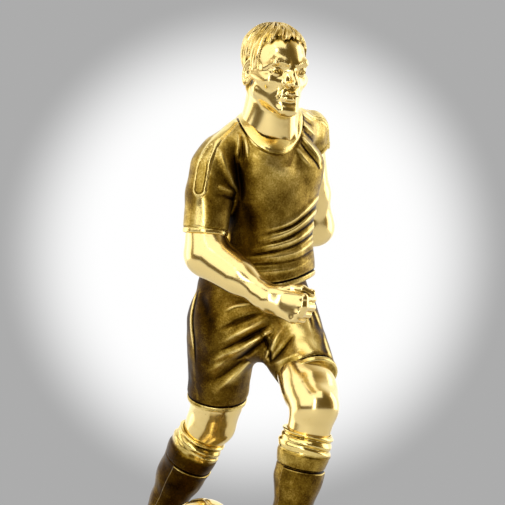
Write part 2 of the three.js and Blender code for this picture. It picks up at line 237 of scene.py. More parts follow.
BLOCK_EDGE = 8  # voxels along a block's side
HALF_DIAGONAL = 0.87  # of a block, in block sides
STEEPEST = 1.3  # how fast a field may grow
SLACK = 1.5  # how far relief may move a surface
BATCH = 800  # blocks worked out together
RELIEF_DEPTH = 1.0  # how far under and over a surface its hollows and ridges are felt for


def sample(field, low, high, voxel):
    """The field on a grid, worked out finely only in the blocks that the surface may cross."""
    edge = BLOCK_EDGE
    block = voxel * edge
    counts = np.ceil((high - low) / block).astype(int)
    cells = np.stack(np.meshgrid(*[np.arange(n) for n in counts], indexing="ij"), -1).reshape(-1, 3)
    middle = (low + (cells + 0.5) * block).astype(np.float32)
    coarse = field(middle)
    grid = np.empty((counts[0], edge, counts[1], edge, counts[2], edge), np.float32)
    grid[:] = (np.sign(coarse) * block).reshape(counts)[:, None, :, None, :, None]
    near = cells[np.abs(coarse) < block * HALF_DIAGONAL * STEEPEST + SLACK]
    offsets = np.stack(np.meshgrid(*[np.arange(edge)] * 3, indexing="ij"), -1).reshape(-1, 3)
    for part in np.array_split(near, max(1, len(near) // BATCH)):
        p = (part[:, None, :] * edge + offsets[None]).reshape(-1, 3) * voxel + low
        values = field(p.astype(np.float32)).reshape(-1, edge, edge, edge)
        grid[part[:, 0], :, part[:, 1], :, part[:, 2], :] = values
    return grid.reshape(counts * edge)


def slope(field, p, reach=0.06):
    """The field and its normalised slope at each point."""
    parts = [field(p + vec(*axis) * reach) - field(p - vec(*axis) * reach) for axis in np.eye(3)]
    gradient = np.stack(parts, 1) / (2 * reach)
    steep = np.maximum(size(gradient), 1e-3)
    return field(p), gradient / steep[:, None], steep


def relax(p, quads):
    """Each vertex half way to the middle of its neighbours."""
    a, b = quads.ravel(), np.roll(quads, 1, axis=1).ravel()
    n = len(p)
    count = np.bincount(a, minlength=n) + np.bincount(b, minlength=n)
    total = [np.bincount(a, p[b, i], n) + np.bincount(b, p[a, i], n) for i in range(3)]
    middle = np.stack(total, 1) / np.maximum(count, 1)[:, None]
    return (0.5 * (p + middle)).astype(np.float32)


def sculpt(name, field, low, high, voxel, wear_and_painted_light=None, form=None):
    """A mesh of the field's surface, with the point attributes that its finish reads.

    "relief" is 1 in deep hollows and -1 on sharp ridges, and the wear attribute says how far the patina has
    been worn away, with painted highlights and painted shade added on the jersey and shorts. form is the
    field before anything was hollowed out of it.
    """
    low, high = np.asarray(low, np.float32), np.asarray(high, np.float32)
    grid = vdb.FloatGrid(voxel * BLOCK_EDGE)
    grid.copyFromArray(sample(field, low, high, voxel))
    p, quads = grid.convertToQuads(isovalue=0.0)
    p = (low + p * voxel).astype(np.float32)
    for _ in range(2):
        p = relax(p, quads)
        value, normal, steep = slope(field, p)
        p = (p - normal * np.clip(value / steep, -voxel, voxel)[:, None]).astype(np.float32)
    normal = slope(field, p)[1]
    hollow = np.clip(1 - field(p + normal * RELIEF_DEPTH) / RELIEF_DEPTH, 0, 1)
    inner = (form or field)(p - normal * RELIEF_DEPTH)
    ridge = np.clip(1 + inner / RELIEF_DEPTH, 0, 1) * (inner < 0.2)
    values = {"relief": hollow - ridge}
    if wear_and_painted_light:
        values["wear_and_painted_light"] = wear_and_painted_light(p)
    return mesh_object(name, p, quads, normal, values)


def mesh_object(name, p, quads, normal, values):
    mesh = bpy.data.meshes.new(name)
    mesh.vertices.add(len(p))
    world = (p + vec(0, 0, GROUND)) * MM
    mesh.vertices.foreach_set("co", world.astype(np.float32).ravel())
    quads = quads[:, ::-1] if facing_in(p, quads) else quads
    mesh.loops.add(quads.size)
    mesh.loops.foreach_set("vertex_index", quads.ravel().astype(np.int32))
    mesh.polygons.add(len(quads))
    mesh.polygons.foreach_set("loop_start", np.arange(0, quads.size, 4, dtype=np.int32))
    mesh.polygons.foreach_set("use_smooth", np.ones(len(quads), bool))
    mesh.update(calc_edges=True)
    for attribute, value in values.items():
        made = mesh.attributes.new(attribute, "FLOAT", "POINT")
        made.data.foreach_set("value", value.astype(np.float32))
    mesh.normals_split_custom_set_from_vertices(normal)
    obj = bpy.data.objects.new(name, mesh)
    bpy.context.scene.collection.objects.link(obj)
    return obj


def facing_in(p, quads):
    a, b, c, d = (p[quads[:, i]].astype(np.float64) for i in range(4))
    volume = np.einsum("ij,ij->i", a + c, np.cross(c - a, d - b)).sum()
    return volume < 0


# ---- the pose, as in the CAD model

SKULL = Place(vec(21.6, -22, 232.6), heading=31, lean=8)
NECK_TOP, NECK_BASE = vec(20.8, -18, 217), vec(18.8, -9, 203)
CHEST = Place(vec(19.5, -8, 184), heading=40, lean=6)
BELLY = Place(vec(17.5, -3, 151), heading=30)
HIPS = Place(vec(10.8, 0, 124), heading=15)
RIGHT_SHOULDER, RIGHT_ELBOW = vec(-7.5, -25, 187.5), vec(-11.4, -27, 149)
RIGHT_WRIST = vec(18, -47, 128)
LEFT_SHOULDER, LEFT_ELBOW, LEFT_WRIST = vec(36.0, 17, 207.6), vec(42.4, 50, 161.5), vec(11.5, 31, 157)
RIGHT_SLEEVE_END = mix(RIGHT_SHOULDER, RIGHT_ELBOW, 0.8)
LEFT_SLEEVE_END = mix(LEFT_SHOULDER, LEFT_ELBOW, 0.2)
SEAT = 0.25  # clearance between castings


# ---- head


def face(q):
    """The face, in head coordinates: left, ahead, up from the middle of the eye line. The head is 42 high."""
    sides = (-1, 1)
    d = ovoid(q, (0, 3.0, -3.5), (11.6, 12.4, 14.6))
    for s in sides:
        d = join(d, bone(q, vec(s * 9.0, 1.5, -9.5), vec(s * 2.6, 12.2, -17.2), 3.4, 3.0), 3.5)
        d = join(d, bone(q, vec(s * 8.6, 8.6, -4.2), vec(s * 12.3, 0.5, -2.4), 3.0, 1.6), 3)
        d = join(d, bone(q, vec(s * 2.4, 13.4, 3.7), vec(s * 7.6, 12.0, 4.0), 1.7, 1.6), 2)
        d = join(d, bone(q, vec(s * 7.6, 12.0, 4.0), vec(s * 10.8, 7.6, 1.6), 1.6, 1.5), 2)
    d = join(d, ovoid(q, (0, 12.9, -17.6), (4.0, 3.0, 3.0)), 2)
    d = join(d, ovoid(q, (0, 10.9, -11.2), (6.0, 4.6, 4.8)), 2.5)
    for s in sides:
        d = cut(d, ovoid(q, (s * 6.0, 16.0, -0.3), (4.3, 4.2, 3.0)), 2.2)
        d = cut(d, ovoid(q, (s * 12.9, 9.8, 6.0), (2.2, 5.0, 5.0)), 3.5)
    d = cut(d, ovoid(q, (0, 16.9, -14.5), (3.6, 1.9, 0.9)), 1.6)
    return d


def nose(q):
    d = chain(q, [vec(0, 13.3, 2.0), vec(0, 15.3, -1.2), vec(0, 17.4, -4.9)], [1.3, 1.35, 1.6], 1)
    d = join(d, ovoid(q, (0, 17.8, -5.4), (1.9, 1.8, 1.65)), 0.9)
    for s in (-1, 1):
        d = join(d, bone(q, vec(s * 1.7, 13.2, -0.6), vec(s * 2.6, 14.2, -5.0), 1.2, 1.5), 1.4)
        d = join(d, ovoid(q, (s * 2.35, 15.7, -5.9), (1.25, 1.9, 1.35)), 0.8)
    return d


def eye(q, s):
    """An eyeball between two lids, with a rim of iris and a drilled pupil."""
    r = q - vec(s * 6.0, 9.3, -0.2)
    ball = size(r) - 3.55
    iris = np.sqrt(r[:, 0] ** 2 + r[:, 2] ** 2)
    ball = ball + 0.22 * bump(iris - 1.25, 0.22) + 0.45 * bump(iris, 0.5)
    across = r[:, 0] * s
    lid = size(r) - 3.98
    top = 1.25 - 0.14 * (across + 0.2) ** 2
    bottom = -0.95 + 0.10 * (across - 0.3) ** 2
    slit = np.maximum(r[:, 2] - top, bottom - r[:, 2]) * 0.9
    lid = cut(lid, slit, 0.25)
    fold = size(r - vec(0, 0, 0.1)) - 4.15
    upper = both(fold, 1.1 - r[:, 2] + 0.06 * across**2 - 0.1, 0.5)
    return join(join(ball, lid, 0.12), upper, 0.35)


def lips(q):
    d = None
    for s in (-1, 1):
        upper = [vec(0, 15.25, -10.15), vec(s * 1.5, 15.2, -9.85), vec(s * 4.3, 13.3, -11.1)]
        lower = [vec(0, 15.1, -12.35), vec(s * 1.9, 14.85, -12.2), vec(s * 4.1, 13.3, -11.4)]
        d = join(d, chain(q, upper, [0.75, 0.85, 0.3], 0.5), 0.6)
        d = join(d, chain(q, lower, [1.0, 0.95, 0.3], 0.5), 0.6)
    return d


def mouth_line(q):
    points = [vec(-4.7, 13.6, -11.25), vec(-2.2, 15.5, -11.05), vec(0, 16.2, -11.25),
              vec(2.2, 15.5, -11.05), vec(4.7, 13.6, -11.25)]
    return chain(q, points, [0.18, 0.3, 0.3, 0.3, 0.18], 0.2)


def ear(q, s):
    axes = [unit(vec(s * 0.93, 0.36, 0.05)), unit(vec(s * -0.36, 0.9, -0.22)), unit(vec(0, 0.22, 0.97))]
    r = Place(vec(s * 13.1, -1.8, -1.9), axes=axes).local(q)
    out, fore, up = r[:, 0], r[:, 1], r[:, 2]
    width = 2.8 + 0.10 * up
    ring = np.sqrt((fore / width) ** 2 + (up / 5.2) ** 2)
    around = (ring - 1) * 2.7
    d = np.sqrt(around**2 + (out - 0.35) ** 2) - 0.62
    plate = both(ovoid(r, (0, 0, 0), (1.0, 3.0, 5.3)), out - 0.25, 0.4)
    d = join(d, plate, 0.5)
    anti = np.sqrt(((ring - 0.62) * 2.7) ** 2 + (out - 0.25) ** 2) - 0.38
    d = join(d, np.maximum(anti, fore - 1.0), 0.4)
    d = cut(d, ovoid(r, (0.9, 0.5, -0.6), (1.0, 1.2, 1.7)), 0.5)
    d = join(d, ovoid(r, (0.3, 2.0, -0.6), (0.7, 0.7, 1.0)), 0.4)
    return join(d, ovoid(r, (0.2, 0.6, -4.1), (0.75, 1.25, 1.2)), 0.6)


def hair(q):
    """Short hair combed forward from the crown and swept to one side over the brow."""
    x, y, z = q[:, 0], q[:, 1], q[:, 2]
    turn = np.arctan2(x + 0.6, y + 5.5)
    away = np.sqrt(x**2 + (y + 5.5) ** 2 + 0.4 * (z - 20) ** 2)
    swirl = turn + 0.035 * away
    strands = np.stack([swirl * 9.5, away * 0.17, 0 * x], 1)
    fine = np.stack([swirl * 22, away * 0.3, 0 * x + 4], 1)
    texture = 1 - np.abs(noise(strands, 3)) * 2 + 0.45 * noise(fine, 5)
    thick = 0.05 + 1.6 * step(z, 6, 17)
    depth = 0.5 + 0.5 * step(z, 2, 12)
    d = ovoid(q, (0, -2.6, 5.6), (14.0, 17.3, 14.6)) - thick * 0.55 - 0.55 * texture * depth
    wave = 0.7 * np.sin(x * 0.95 + 0.6) + 0.35 * np.sin(x * 2.3)
    front = 14.6 + wave * 0.9
    temple = 8.6 + wave * 0.4
    line = np.where(y > 9.5, front, np.where(y > 3.5, mix_values(temple, front, (y - 3.5) / 6), temple))
    burn = mix_values(line, -4.5 + 0 * z, step(4.6 - np.abs(y - 2.4), 1.2, 2.6))
    nape = mix_values(5.0 + 0 * y, -10.5 + 0 * y, step(-y, 3.5, 7.5))
    edge = np.where(y > -1.0, burn, nape)
    return both(d, (edge - z) * 0.75, 1.8)


def mix_values(a, b, t):
    t = np.clip(t, 0, 1)
    return a + (b - a) * t


def brows(q):
    """Eyebrows, as low ridges of short hair."""
    total = np.zeros(len(q), np.float32)
    for s in (-1, 1):
        line = smooth_curve([(s * 2.6, 3.3), (s * 6.0, 4.5), (s * 9.6, 3.0)])
        d, t = course(q[:, [0, 2]], line)
        hairs = 1 + 0.12 * np.sin((q[:, 0] * s * 1.1 + q[:, 2]) * 4.2)
        total += bump(d, 0.62) * (1 - 0.5 * t) * hairs * step(q[:, 1], 5, 8)
    return total


def neck(p):
    q = SKULL.local(p)
    d = bone(p, SKULL.point(0, -4, -9), mix(NECK_TOP, NECK_BASE, 0.9), 10.6, 12.2)
    d = join(d, bone(p, NECK_TOP, NECK_BASE + vec(0, 0, -8), 11.0, 13.2), 3)
    for shoulder in (RIGHT_SHOULDER, LEFT_SHOULDER):
        slope_top = mix(NECK_TOP, NECK_BASE, 0.1) + unit(shoulder - NECK_BASE) * 3
        slope_end = mix(NECK_BASE, shoulder, 0.45) + vec(0, 2, 1)
        d = join(d, bone(p, slope_top + vec(0, 2, 0), slope_end, 8.5, 7.5), 5)
    pit = CHEST.point(0, 13.5, 10.5)
    for s in (-1, 1):
        strap = bone(p, SKULL.point(s * 9.0, -4.5, -9), pit + CHEST.axes[0] * s * 2.2, 3.2, 1.9)
        d = join(d, strap, 1.7)
    return join(d, ovoid(q, (0, 3.6, -25.5), (2.0, 2.0, 3.4)), 4.0)


def head(p):
    q = SKULL.local(p)
    d = ovoid(q, (0, -2.6, 5.6), (13.4, 16.9, 14.0))
    d = join(d, face(q), 3)
    for s in (-1, 1):
        d = join(d, eye(q, s), 0.35)
    d = join(d, nose(q), 1.1)
    d = join(d, lips(q), 0.7)
    d = d - 0.32 * brows(q)
    d = cut(d, mouth_line(q), 0.35)
    for s in (-1, 1):
        d = cut(d, ovoid(q, (s * 1.15, 16.9, -7.25), (0.55, 0.9, 0.75)), 0.35)
        cheek_line = smooth_curve([(s * 3.2, -6.6), (s * 4.9, -9.0), (s * 5.8, -11.8)])
        crease, _ = course(q[:, [0, 2]], cheek_line)
        d = d + 0.16 * bump(crease, 0.6) * step(q[:, 1], 8, 11)
        d = join(d, ear(q, s), 0.6)
    d = join(d, neck(p), 2.4)
    return both(join(d, hair(q), 0.35), 186 - p[:, 2], 0.5)


def head_rubbed(p):
    """The hair keeps some of its patina."""
    q = SKULL.local(p)
    return -step(-hair(q), -0.5, 0.2) * (0.35 + 0.5 * step(q[:, 2], 9, 19))


# ---- arms and hands


HAND_SCALE = 0.9


class Hand:
    """A closed fist. along runs from wrist to knuckles, thumb to the thumb's side, back out of its back."""

    # each knuckle's reach, side and radius
    KNUCKLES = ((18.3, 6.2, 2.35), (19.4, 2.1, 2.5), (18.6, -2.0, 2.4), (16.6, -5.7, 2.15))
    THUMB = [vec(2.5, 4.2, -1.0), vec(9.5, 8.1, -1.6), vec(15.0, 9.6, -2.6), vec(19.6, 9.0, -5.0)]

    def __init__(self, wrist, along, thumb, back):
        self.at = Place(wrist, axes=[unit(along), unit(thumb), unit(back)])

    def field(self, p):
        return HAND_SCALE * self.fist(self.at.local(p) / HAND_SCALE)

    def fist(self, q):
        d = bone(q, vec(-4, 0, -0.8), vec(4, 0, -1.7), 5.4, 5.6, (vec(0, 0, 1), 1.22))
        d = join(d, ovoid(q, (9.8, 0.2, -2.4), (10.4, 7.4, 4.5)), 4)
        for reach, side, r in self.KNUCKLES:
            d = join(d, bone(q, vec(2.5, side * 0.45, 0.2), vec(reach, side, -0.4), 2.2, r), 3.5)
        for reach, side, r in self.KNUCKLES:
            joints = [vec(reach, side, -0.4), vec(reach + 0.6, side * 0.97, -8.6),
                      vec(reach - 7.4, side * 0.93, -9.6), vec(reach - 8.0, side * 0.9, -5.2)]
            finger = chain(q, joints, [r, r * 0.92, r * 0.86, r * 0.8], 0.8)
            d = join(d, finger, 0.9)
            d = d - 0.45 * bump(size(q - vec(reach + 0.6, side, 1.5)), 1.7)
        d = join(d, chain(q, self.THUMB, [3.0, 2.5, 2.25, 1.9], 1.2), 0.5)
        nail = ovoid(q, (19.4, 10.9, -4.9), (1.5, 0.45, 1.15))
        return join(d, nail, 0.2)


RIGHT_HAND = Hand(RIGHT_WRIST, vec(0.83, -0.45, -0.34), vec(0.29, -0.1, 0.95), vec(-0.46, -0.89, 0.05))
LEFT_HAND = Hand(LEFT_WRIST, vec(-0.86, -0.5, -0.1), vec(-0.15, 0.06, 0.98), vec(-0.5, 0.86, -0.12))


def arm(p, joints, over, radii, hand):
    """A bare arm. joints are sleeve, elbow and wrist, and over points to the outside of the elbow."""
    upper, elbow, wrist = joints
    fore = wrist - elbow
    thick, slim = radii[3:]
    d = chain(p, [upper, mix(upper, elbow, 0.6), elbow], radii[:3], 3)
    d = join(d, ovoid(p, elbow + over * 3.4, (4.2, 4.2, 4.6)), 5)
    d = join(d, bone(p, elbow + fore * 0.05, wrist, thick, slim), 5)
    d = join(d, bone(p, elbow + fore * 0.14, elbow + fore * 0.52, thick - 0.6, thick - 1.9), 8)
    return join(d, hand.field(p), 4.5)


def right_arm(p):
    joints = mix(RIGHT_SHOULDER, RIGHT_ELBOW, 0.55), RIGHT_ELBOW, RIGHT_WRIST
    return arm(p, joints, unit(vec(-0.6, 0.35, -0.75)), [8.2, 8.3, 7.8, 8.6, 5.4], RIGHT_HAND)


def left_arm(p):
    joints = mix(LEFT_SHOULDER, LEFT_ELBOW, 0.17), LEFT_ELBOW, LEFT_WRIST
    return arm(p, joints, unit(vec(0.5, 0.6, -0.6)), [8.0, 7.8, 7.2, 7.8, 5.0], LEFT_HAND)


# ---- jersey

COLLAR = Place(vec(19.2, -10, 212), heading=18)
COLLAR_RADII = (14.6, 13.8)
COLLAR_WIDTH = 3.8
NECKLINE_FRONT = [(3.6, 213.4), (5.6, 207.5), (9.4, 200.6), (15.0, 195.4), (22.6, 192.9), (28.8, 195.9),
                  (32.6, 201.2), (34.4, 207.5), (33.6, 213.6)]
NECKLINE_BACK = [(7, -1, 214), (14, 5, 214), (22, 6.5, 214.5), (30, 1, 214.5)]
RIM = []
JERSEY_FOLDS = {
    "front": [
        # under the right arm and at the armhole
        ([(-4.5, 196.5), (-0.5, 187), (4.2, 176)], 2.0, 1.5, 1.2),
        ([(3.0, 193), (4.8, 184), (6.2, 172)], 1.6, -0.8, -1.6),
        ([(-4.8, 178.2), (-1, 177.4), (3.2, 175.4)], 1.1, 0.9, 0.8),
        ([(-5.5, 175.2), (-1, 174.0), (3.0, 172.4)], 0.9, -0.7, -0.7),
        ([(4.8, 203), (4.6, 197), (3.6, 189)], 0.8, 0.8, 0.4),
        ([(6.4, 202), (6.8, 196), (6.6, 188)], 0.8, -0.6, -0.3),
        ([(7.6, 201), (8.6, 196), (9.0, 190)], 0.8, 0.6, 0.3),
        ([(9.0, 171), (9.5, 160), (13, 150)], 2.6, -0.9, -0.4),
        # the left shoulder, drawn down to the armpit in long pleats
        ([(33.6, 213.5), (39, 210.5), (44, 206.5), (47, 201)], 1.1, 0.9, 1.0),
        ([(34.0, 210.5), (39.5, 207), (44, 202.5), (46, 197.5)], 0.8, -1.0, -1.3),
        ([(34.4, 208), (39.5, 204), (43.4, 199.6), (45, 195.5)], 1.0, 1.1, 1.1),
        ([(34.4, 205), (38.6, 201), (42, 197), (44, 193)], 0.8, -1.1, -1.2),
        ([(34.0, 202), (37.6, 198), (41, 194), (43, 190)], 1.1, 1.0, 0.9),
        ([(33, 199), (36.5, 194.6), (40, 190.5), (42, 187)], 0.9, -0.8, -0.9),
        ([(31.5, 196.5), (35, 191.6), (39, 187.6)], 1.1, 0.6, 0.6),
        ([(16, 190), (24, 186), (33, 184)], 2.6, 0.25, 0.35),
        # the waist, swept down from the left side
        ([(43.5, 176), (38, 170), (28.6, 162.4), (15, 158)], 1.3, 0.9, 0.4),
        ([(43.5, 173), (37.4, 167), (28.3, 160.2), (14, 155.8)], 0.9, -1.0, -0.4),
        ([(43, 170), (36.4, 163.6), (27, 157.6), (13, 153.4)], 1.2, 0.9, 0.5),
        ([(42.5, 167), (36, 160.6), (27, 155), (14, 151.4)], 0.8, -0.9, -0.4),
        ([(42, 163), (35, 156.6), (25, 152.4), (10, 149.4)], 1.2, 0.8, 0.5),
        ([(41, 159.6), (34.4, 153.8), (24.9, 149.8), (9, 147)], 0.8, -0.8, -0.6),
        ([(41, 155), (33.4, 149.6), (22, 146.6), (6, 145.4)], 1.2, 0.7, 0.6),
        ([(40.6, 150.6), (32.4, 145.8), (22, 143.6), (4, 142.6)], 0.9, -0.7, -0.6),
        ([(40, 146), (31, 141.6), (20, 139.8), (4, 139)], 1.2, 0.5, 0.6),
        ([(2, 176), (9, 167), (14, 156)], 2.4, -0.3, -0.3),
    ],
    "back": [
        ([(-2, 200), (3, 188), (4, 172)], 2.0, 1.0, 0.5),
        ([(44, 192), (34, 186), (24, 184)], 1.7, 1.0, 0.4),
        ([(43, 186), (33, 180), (22, 179)], 1.5, -0.9, -0.3),
        ([(41, 178), (32, 171), (20, 170)], 1.9, 0.9, 0.5),
        ([(0, 176), (10, 168), (20, 164)], 1.8, -0.8, -0.5),
        ([(0, 168), (10, 160), (22, 157)], 1.8, 0.9, 0.5),
        ([(-4, 158), (8, 152), (20, 150)], 1.7, -0.9, -0.4),
        ([(-8, 152), (4, 146), (18, 144)], 1.7, 0.8, 0.5),
        ([(36, 160), (30, 152), (20, 147)], 1.6, -0.8, -0.4),
    ],
}


def torso(p):
    chest, belly, hips = CHEST.local(p), BELLY.local(p), HIPS.local(p)
    d = ovoid(chest, (0, 0, 0), (25, 17.3, 27))
    d = join(d, ovoid(chest, (-10.5, 7.5, 6), (11.5, 10, 10.5)), 7)
    d = join(d, ovoid(chest, (10.5, 7.5, 6), (11.5, 10, 10.5)), 7)
    d = join(d, ovoid(chest, (0, -7, 12), (21, 11.5, 15)), 8)
    d = join(d, ovoid(belly, (0, 1.6, 2), (20.6, 16.6, 37)), 15)
    d = join(d, ovoid(hips, (-0.5, -1.2, 13), (27.0, 21.4, 20)), 14)
    right_end = mix(NECK_BASE, RIGHT_SHOULDER, 0.85) + vec(0, 0, 3.0)
    left_end = mix(NECK_BASE, LEFT_SHOULDER, 0.9) + vec(0, 0, -2.0)
    d = join(d, bone(p, NECK_BASE + vec(-3.5, 1, 0.4), right_end, 12.8, 10.0), 5)
    return join(d, bone(p, NECK_BASE + vec(6, 6, 3), left_end, 12.2, 9.6), 5)


def sleeves(p):
    right_line = [RIGHT_SHOULDER, mix(RIGHT_SHOULDER, RIGHT_SLEEVE_END, 0.4), RIGHT_SLEEVE_END]
    left_start = LEFT_SHOULDER + vec(0.4, 0, -1.8)
    return chain(p, right_line, [10.2, 10.9, 10.5], 2), bone(p, left_start, LEFT_SLEEVE_END, 9.8, 9.8)


def past(p, joint, end):
    """How far a point is beyond the end of a sleeve or leg that comes from joint."""
    return (p - end) @ unit(end - joint)


def hem_band(s, width):
    """Relief of a turned hem whose edge is at s = 0: a raised band with a sewn groove above it."""
    return 0.35 * step(s, -width - 0.3, -width + 0.3) - 0.55 * bump(s + width + 0.5, 0.42)


def around_collar(p):
    """The angle round the collar, and how far out from its middle, in the collar's own ellipse."""
    q = COLLAR.local(p)
    return np.arctan2(q[:, 0], q[:, 1]), size(q[:, :2] / np.array(COLLAR_RADII, np.float32)) * 14


def on_torso(x, z):
    """The point of the torso's near side at that place across and up."""
    y = np.linspace(-40, 6, 185, dtype=np.float32)
    p = np.stack([np.full_like(y, x), y, np.full_like(y, z)], 1)
    inside = np.flatnonzero(torso(p) < 0)
    return p[inside[0]] if len(inside) else vec(x, COLLAR.centre[1], z)


def collar_rim():
    """How far out and how high the neckline's stitched edge is, for angles from -pi to pi round the neck."""
    front = smooth_curve(NECKLINE_FRONT, 6)
    p = np.array([on_torso(x, z) for x, z in front] + NECKLINE_BACK, np.float32)
    turn, reach = around_collar(p)
    order = np.argsort(turn)
    angle = np.linspace(-np.pi, np.pi, 73).astype(np.float32)
    rounds = [np.interp(angle, turn[order], value[order], period=math.tau) for value in (reach, p[:, 2])]
    ease = np.ones(5) / 5
    reach, height = (np.convolve(np.tile(value[:-1], 3), ease, "same")[72:145] for value in rounds)
    return angle, reach, height


def collar(p):
    """How far outside the neckline's stitched edge and above it a point is."""
    if not RIM:
        RIM.extend(collar_rim())
    turn, reach = around_collar(p)
    below = 20 * step(-p[:, 2], -188, -180)
    return reach - np.interp(turn, RIM[0], RIM[1]) + below, p[:, 2] - np.interp(turn, RIM[0], RIM[2])


SHOULDER_BANDS = [
    smooth_curve([(6.5, -14.5, 209.5), (-1, -23, 202.5), (-8.0, -31, 194.5), (-11.8, -34.6, 185),
                  (-12.8, -35.4, 177)]),
    smooth_curve([(31, -2, 211), (36.5, 5.5, 214), (42, 12, 213.2), (46, 18.5, 207.5), (47.2, 24, 200)]),
]
BAND_HALF_WIDTH = 3.3


def shoulder_band(p):
    total = np.zeros(len(p), np.float32)
    for line in SHOULDER_BANDS:
        d, _ = course(p, line)
        raised = 0.75 * step(-d, -BAND_HALF_WIDTH - 0.2, -BAND_HALF_WIDTH + 0.25)
        stitches = 0.25 * bump(d - BAND_HALF_WIDTH + 0.9, 0.25)
        total = np.maximum(total, raised) - stitches
    return total


def jersey_hem_height(p):
    return 131.3 + 0.0125 * (p[:, 0] - 17) ** 2


def jersey_wear_and_painted_light(p):
    """Gold on the collar, bands, sleeve's front, hems and folds, a painted highlight down the right sleeve,
    painted shade under the right arm and painted light on the top of the chest.
    """
    outside, _ = collar(p)
    neckline = step(-outside, -0.2, 0.2) * step(p[:, 2], 186, 188)
    bands = 0
    for line in SHOULDER_BANDS:
        d, _ = course(p, line)
        bands = bands + 0.22 * step(-d, -BAND_HALF_WIDTH - 0.3, -BAND_HALF_WIDTH)
        bands = bands + 0.4 * bump(d - BAND_HALF_WIDTH, 0.7)
    right = past(p, RIGHT_SHOULDER, RIGHT_SLEEVE_END)
    near_right = bone(p, RIGHT_SHOULDER, RIGHT_SLEEVE_END, 9, 9) < 5
    shine, _ = course(p[:, [0, 2]], np.float32([(-12.4, 172), (-13, 154)]))
    sleeve = (0.55 * step(right, -2.4, -1.8) + 0.25 * step(right, -20, -4)) * near_right
    # painted highlight: a bright stripe down the front of the right sleeve, with wider painted shade either
    # side of it
    sleeve = sleeve + (1.2 * bump(shine, 2.4) - 0.4 * bump(shine, 7)) * step(-p[:, 1], 20, 28)
    over_hem = p[:, 2] - jersey_hem_height(p)
    hem = 0.3 * step(over_hem, -2.8, -1) * (p[:, 2] < 142) * (over_hem < 2.3)
    folds = 0.42 * relief(p, JERSEY_FOLDS, CHEST.centre)
    # painted shade: the front of the jersey darker under the right arm
    armpit, _ = course(p[:, [0, 2]], np.float32([(4, 188), (5, 170), (9, 150)]))
    dark = 0.6 * bump(armpit, 7) * step(-p[:, 1], 0, 8)
    # the last term is painted light: the jersey lighter towards the top of the chest
    return 0.75 * neckline + bands + sleeve + hem + folds - dark + 0.18 * step(p[:, 2], 182, 204)


def jersey_form(p):
    """The jersey's outer form."""
    body = torso(p)
    right, left = sleeves(p)
    right_past, left_past = past(p, RIGHT_SHOULDER, RIGHT_SLEEVE_END), past(p, LEFT_SHOULDER, LEFT_SLEEVE_END)
    right = right - hem_band(right_past, 2.0) * step(-right_past, -1, 6)
    left = left - hem_band(left_past, 2.0) * step(-left_past, -1, 6)
    right, left = both(right, right_past, 0.6), both(left, left_past, 0.6)
    d = join(join(body, right, 3.2), left, 3.2)
    folded = relief(p, JERSEY_FOLDS, CHEST.centre)
    soft = 0.35 * rough(p * vec(1, 1, 0.6), 9.0, 2, seed=11)
    outside, above = collar(p)
    from_rim = np.sqrt(outside**2 + above**2)
    above_hem = jersey_hem_height(p) - p[:, 2]
    near_collar = step(outside, 0.3, 3.0)
    ribbed = step(-outside, -0.3, 0.2) * step(outside, -COLLAR_WIDTH - 2, -COLLAR_WIDTH)
    d = d - (folded + soft * near_collar) - shoulder_band(p) * near_collar
    d = d - 0.55 * ribbed + 0.75 * bump(from_rim, 0.5)
    d = d - hem_band(above_hem, 2.4) * step(-p[:, 2], -150, -145)
    d = cut(d, both(outside + COLLAR_WIDTH, -above - 1.0, 0.8), 0.6)
    return both(d, above_hem, 0.7)


def jersey(p):
    d = jersey_form(p)
    d = cut(d, bone(p, NECK_TOP, NECK_BASE + vec(0, 0, -8), 11.4, 12.9) - SEAT, 0.4)
    d = cut(d, both(shorts_form(p) - 0.3, p[:, 2] - 146, 1), 0.4)
    right_bore = bone(p, mix(RIGHT_SHOULDER, RIGHT_ELBOW, 0.62), RIGHT_ELBOW, 9.3, 9.3)
    left_bore = bone(p, mix(LEFT_SHOULDER, LEFT_ELBOW, 0.17), LEFT_ELBOW, 8.5, 8.5)
    return cut(cut(d, right_bore, 0.3), left_bore, 0.3)


# ---- legs

# how far down each roll of a sock's top lies, its width, its height, how far it wanders and where
SOCK_ROLLS = [
    (2.7, 0.6, -0.6, 0.3, 0.4),
    (4.4, 1.1, 0.85, 0.7, 1.3),
    (6.0, 0.7, -0.6, 0.9, 2.0),
    (8.0, 1.4, 0.7, 1.2, 3.1),
    (10.2, 0.9, -0.45, 1.0, 4.4),
]
HEM_DEPTH = 1.9  # thickness of the shorts at a hem
THIGH = 17.3  # radius of a leg of the shorts at the hip


def sock_rings(s, turn):
    """The slouched top of a sock: rolls of uneven height that wander and run into each other."""
    s = s + 0.9 * np.sin(turn + 0.5) + 0.35 * np.sin(3 * turn + 1)
    total = 0.9 * bump(s - 1.2, 0.9)
    for at, width, height, drift, phase in SOCK_ROLLS:
        swell = 0.65 + 0.35 * np.sin(2 * turn + phase)
        total = total + height * swell * bump(s - at - drift * np.sin(turn + phase), width)
    return total


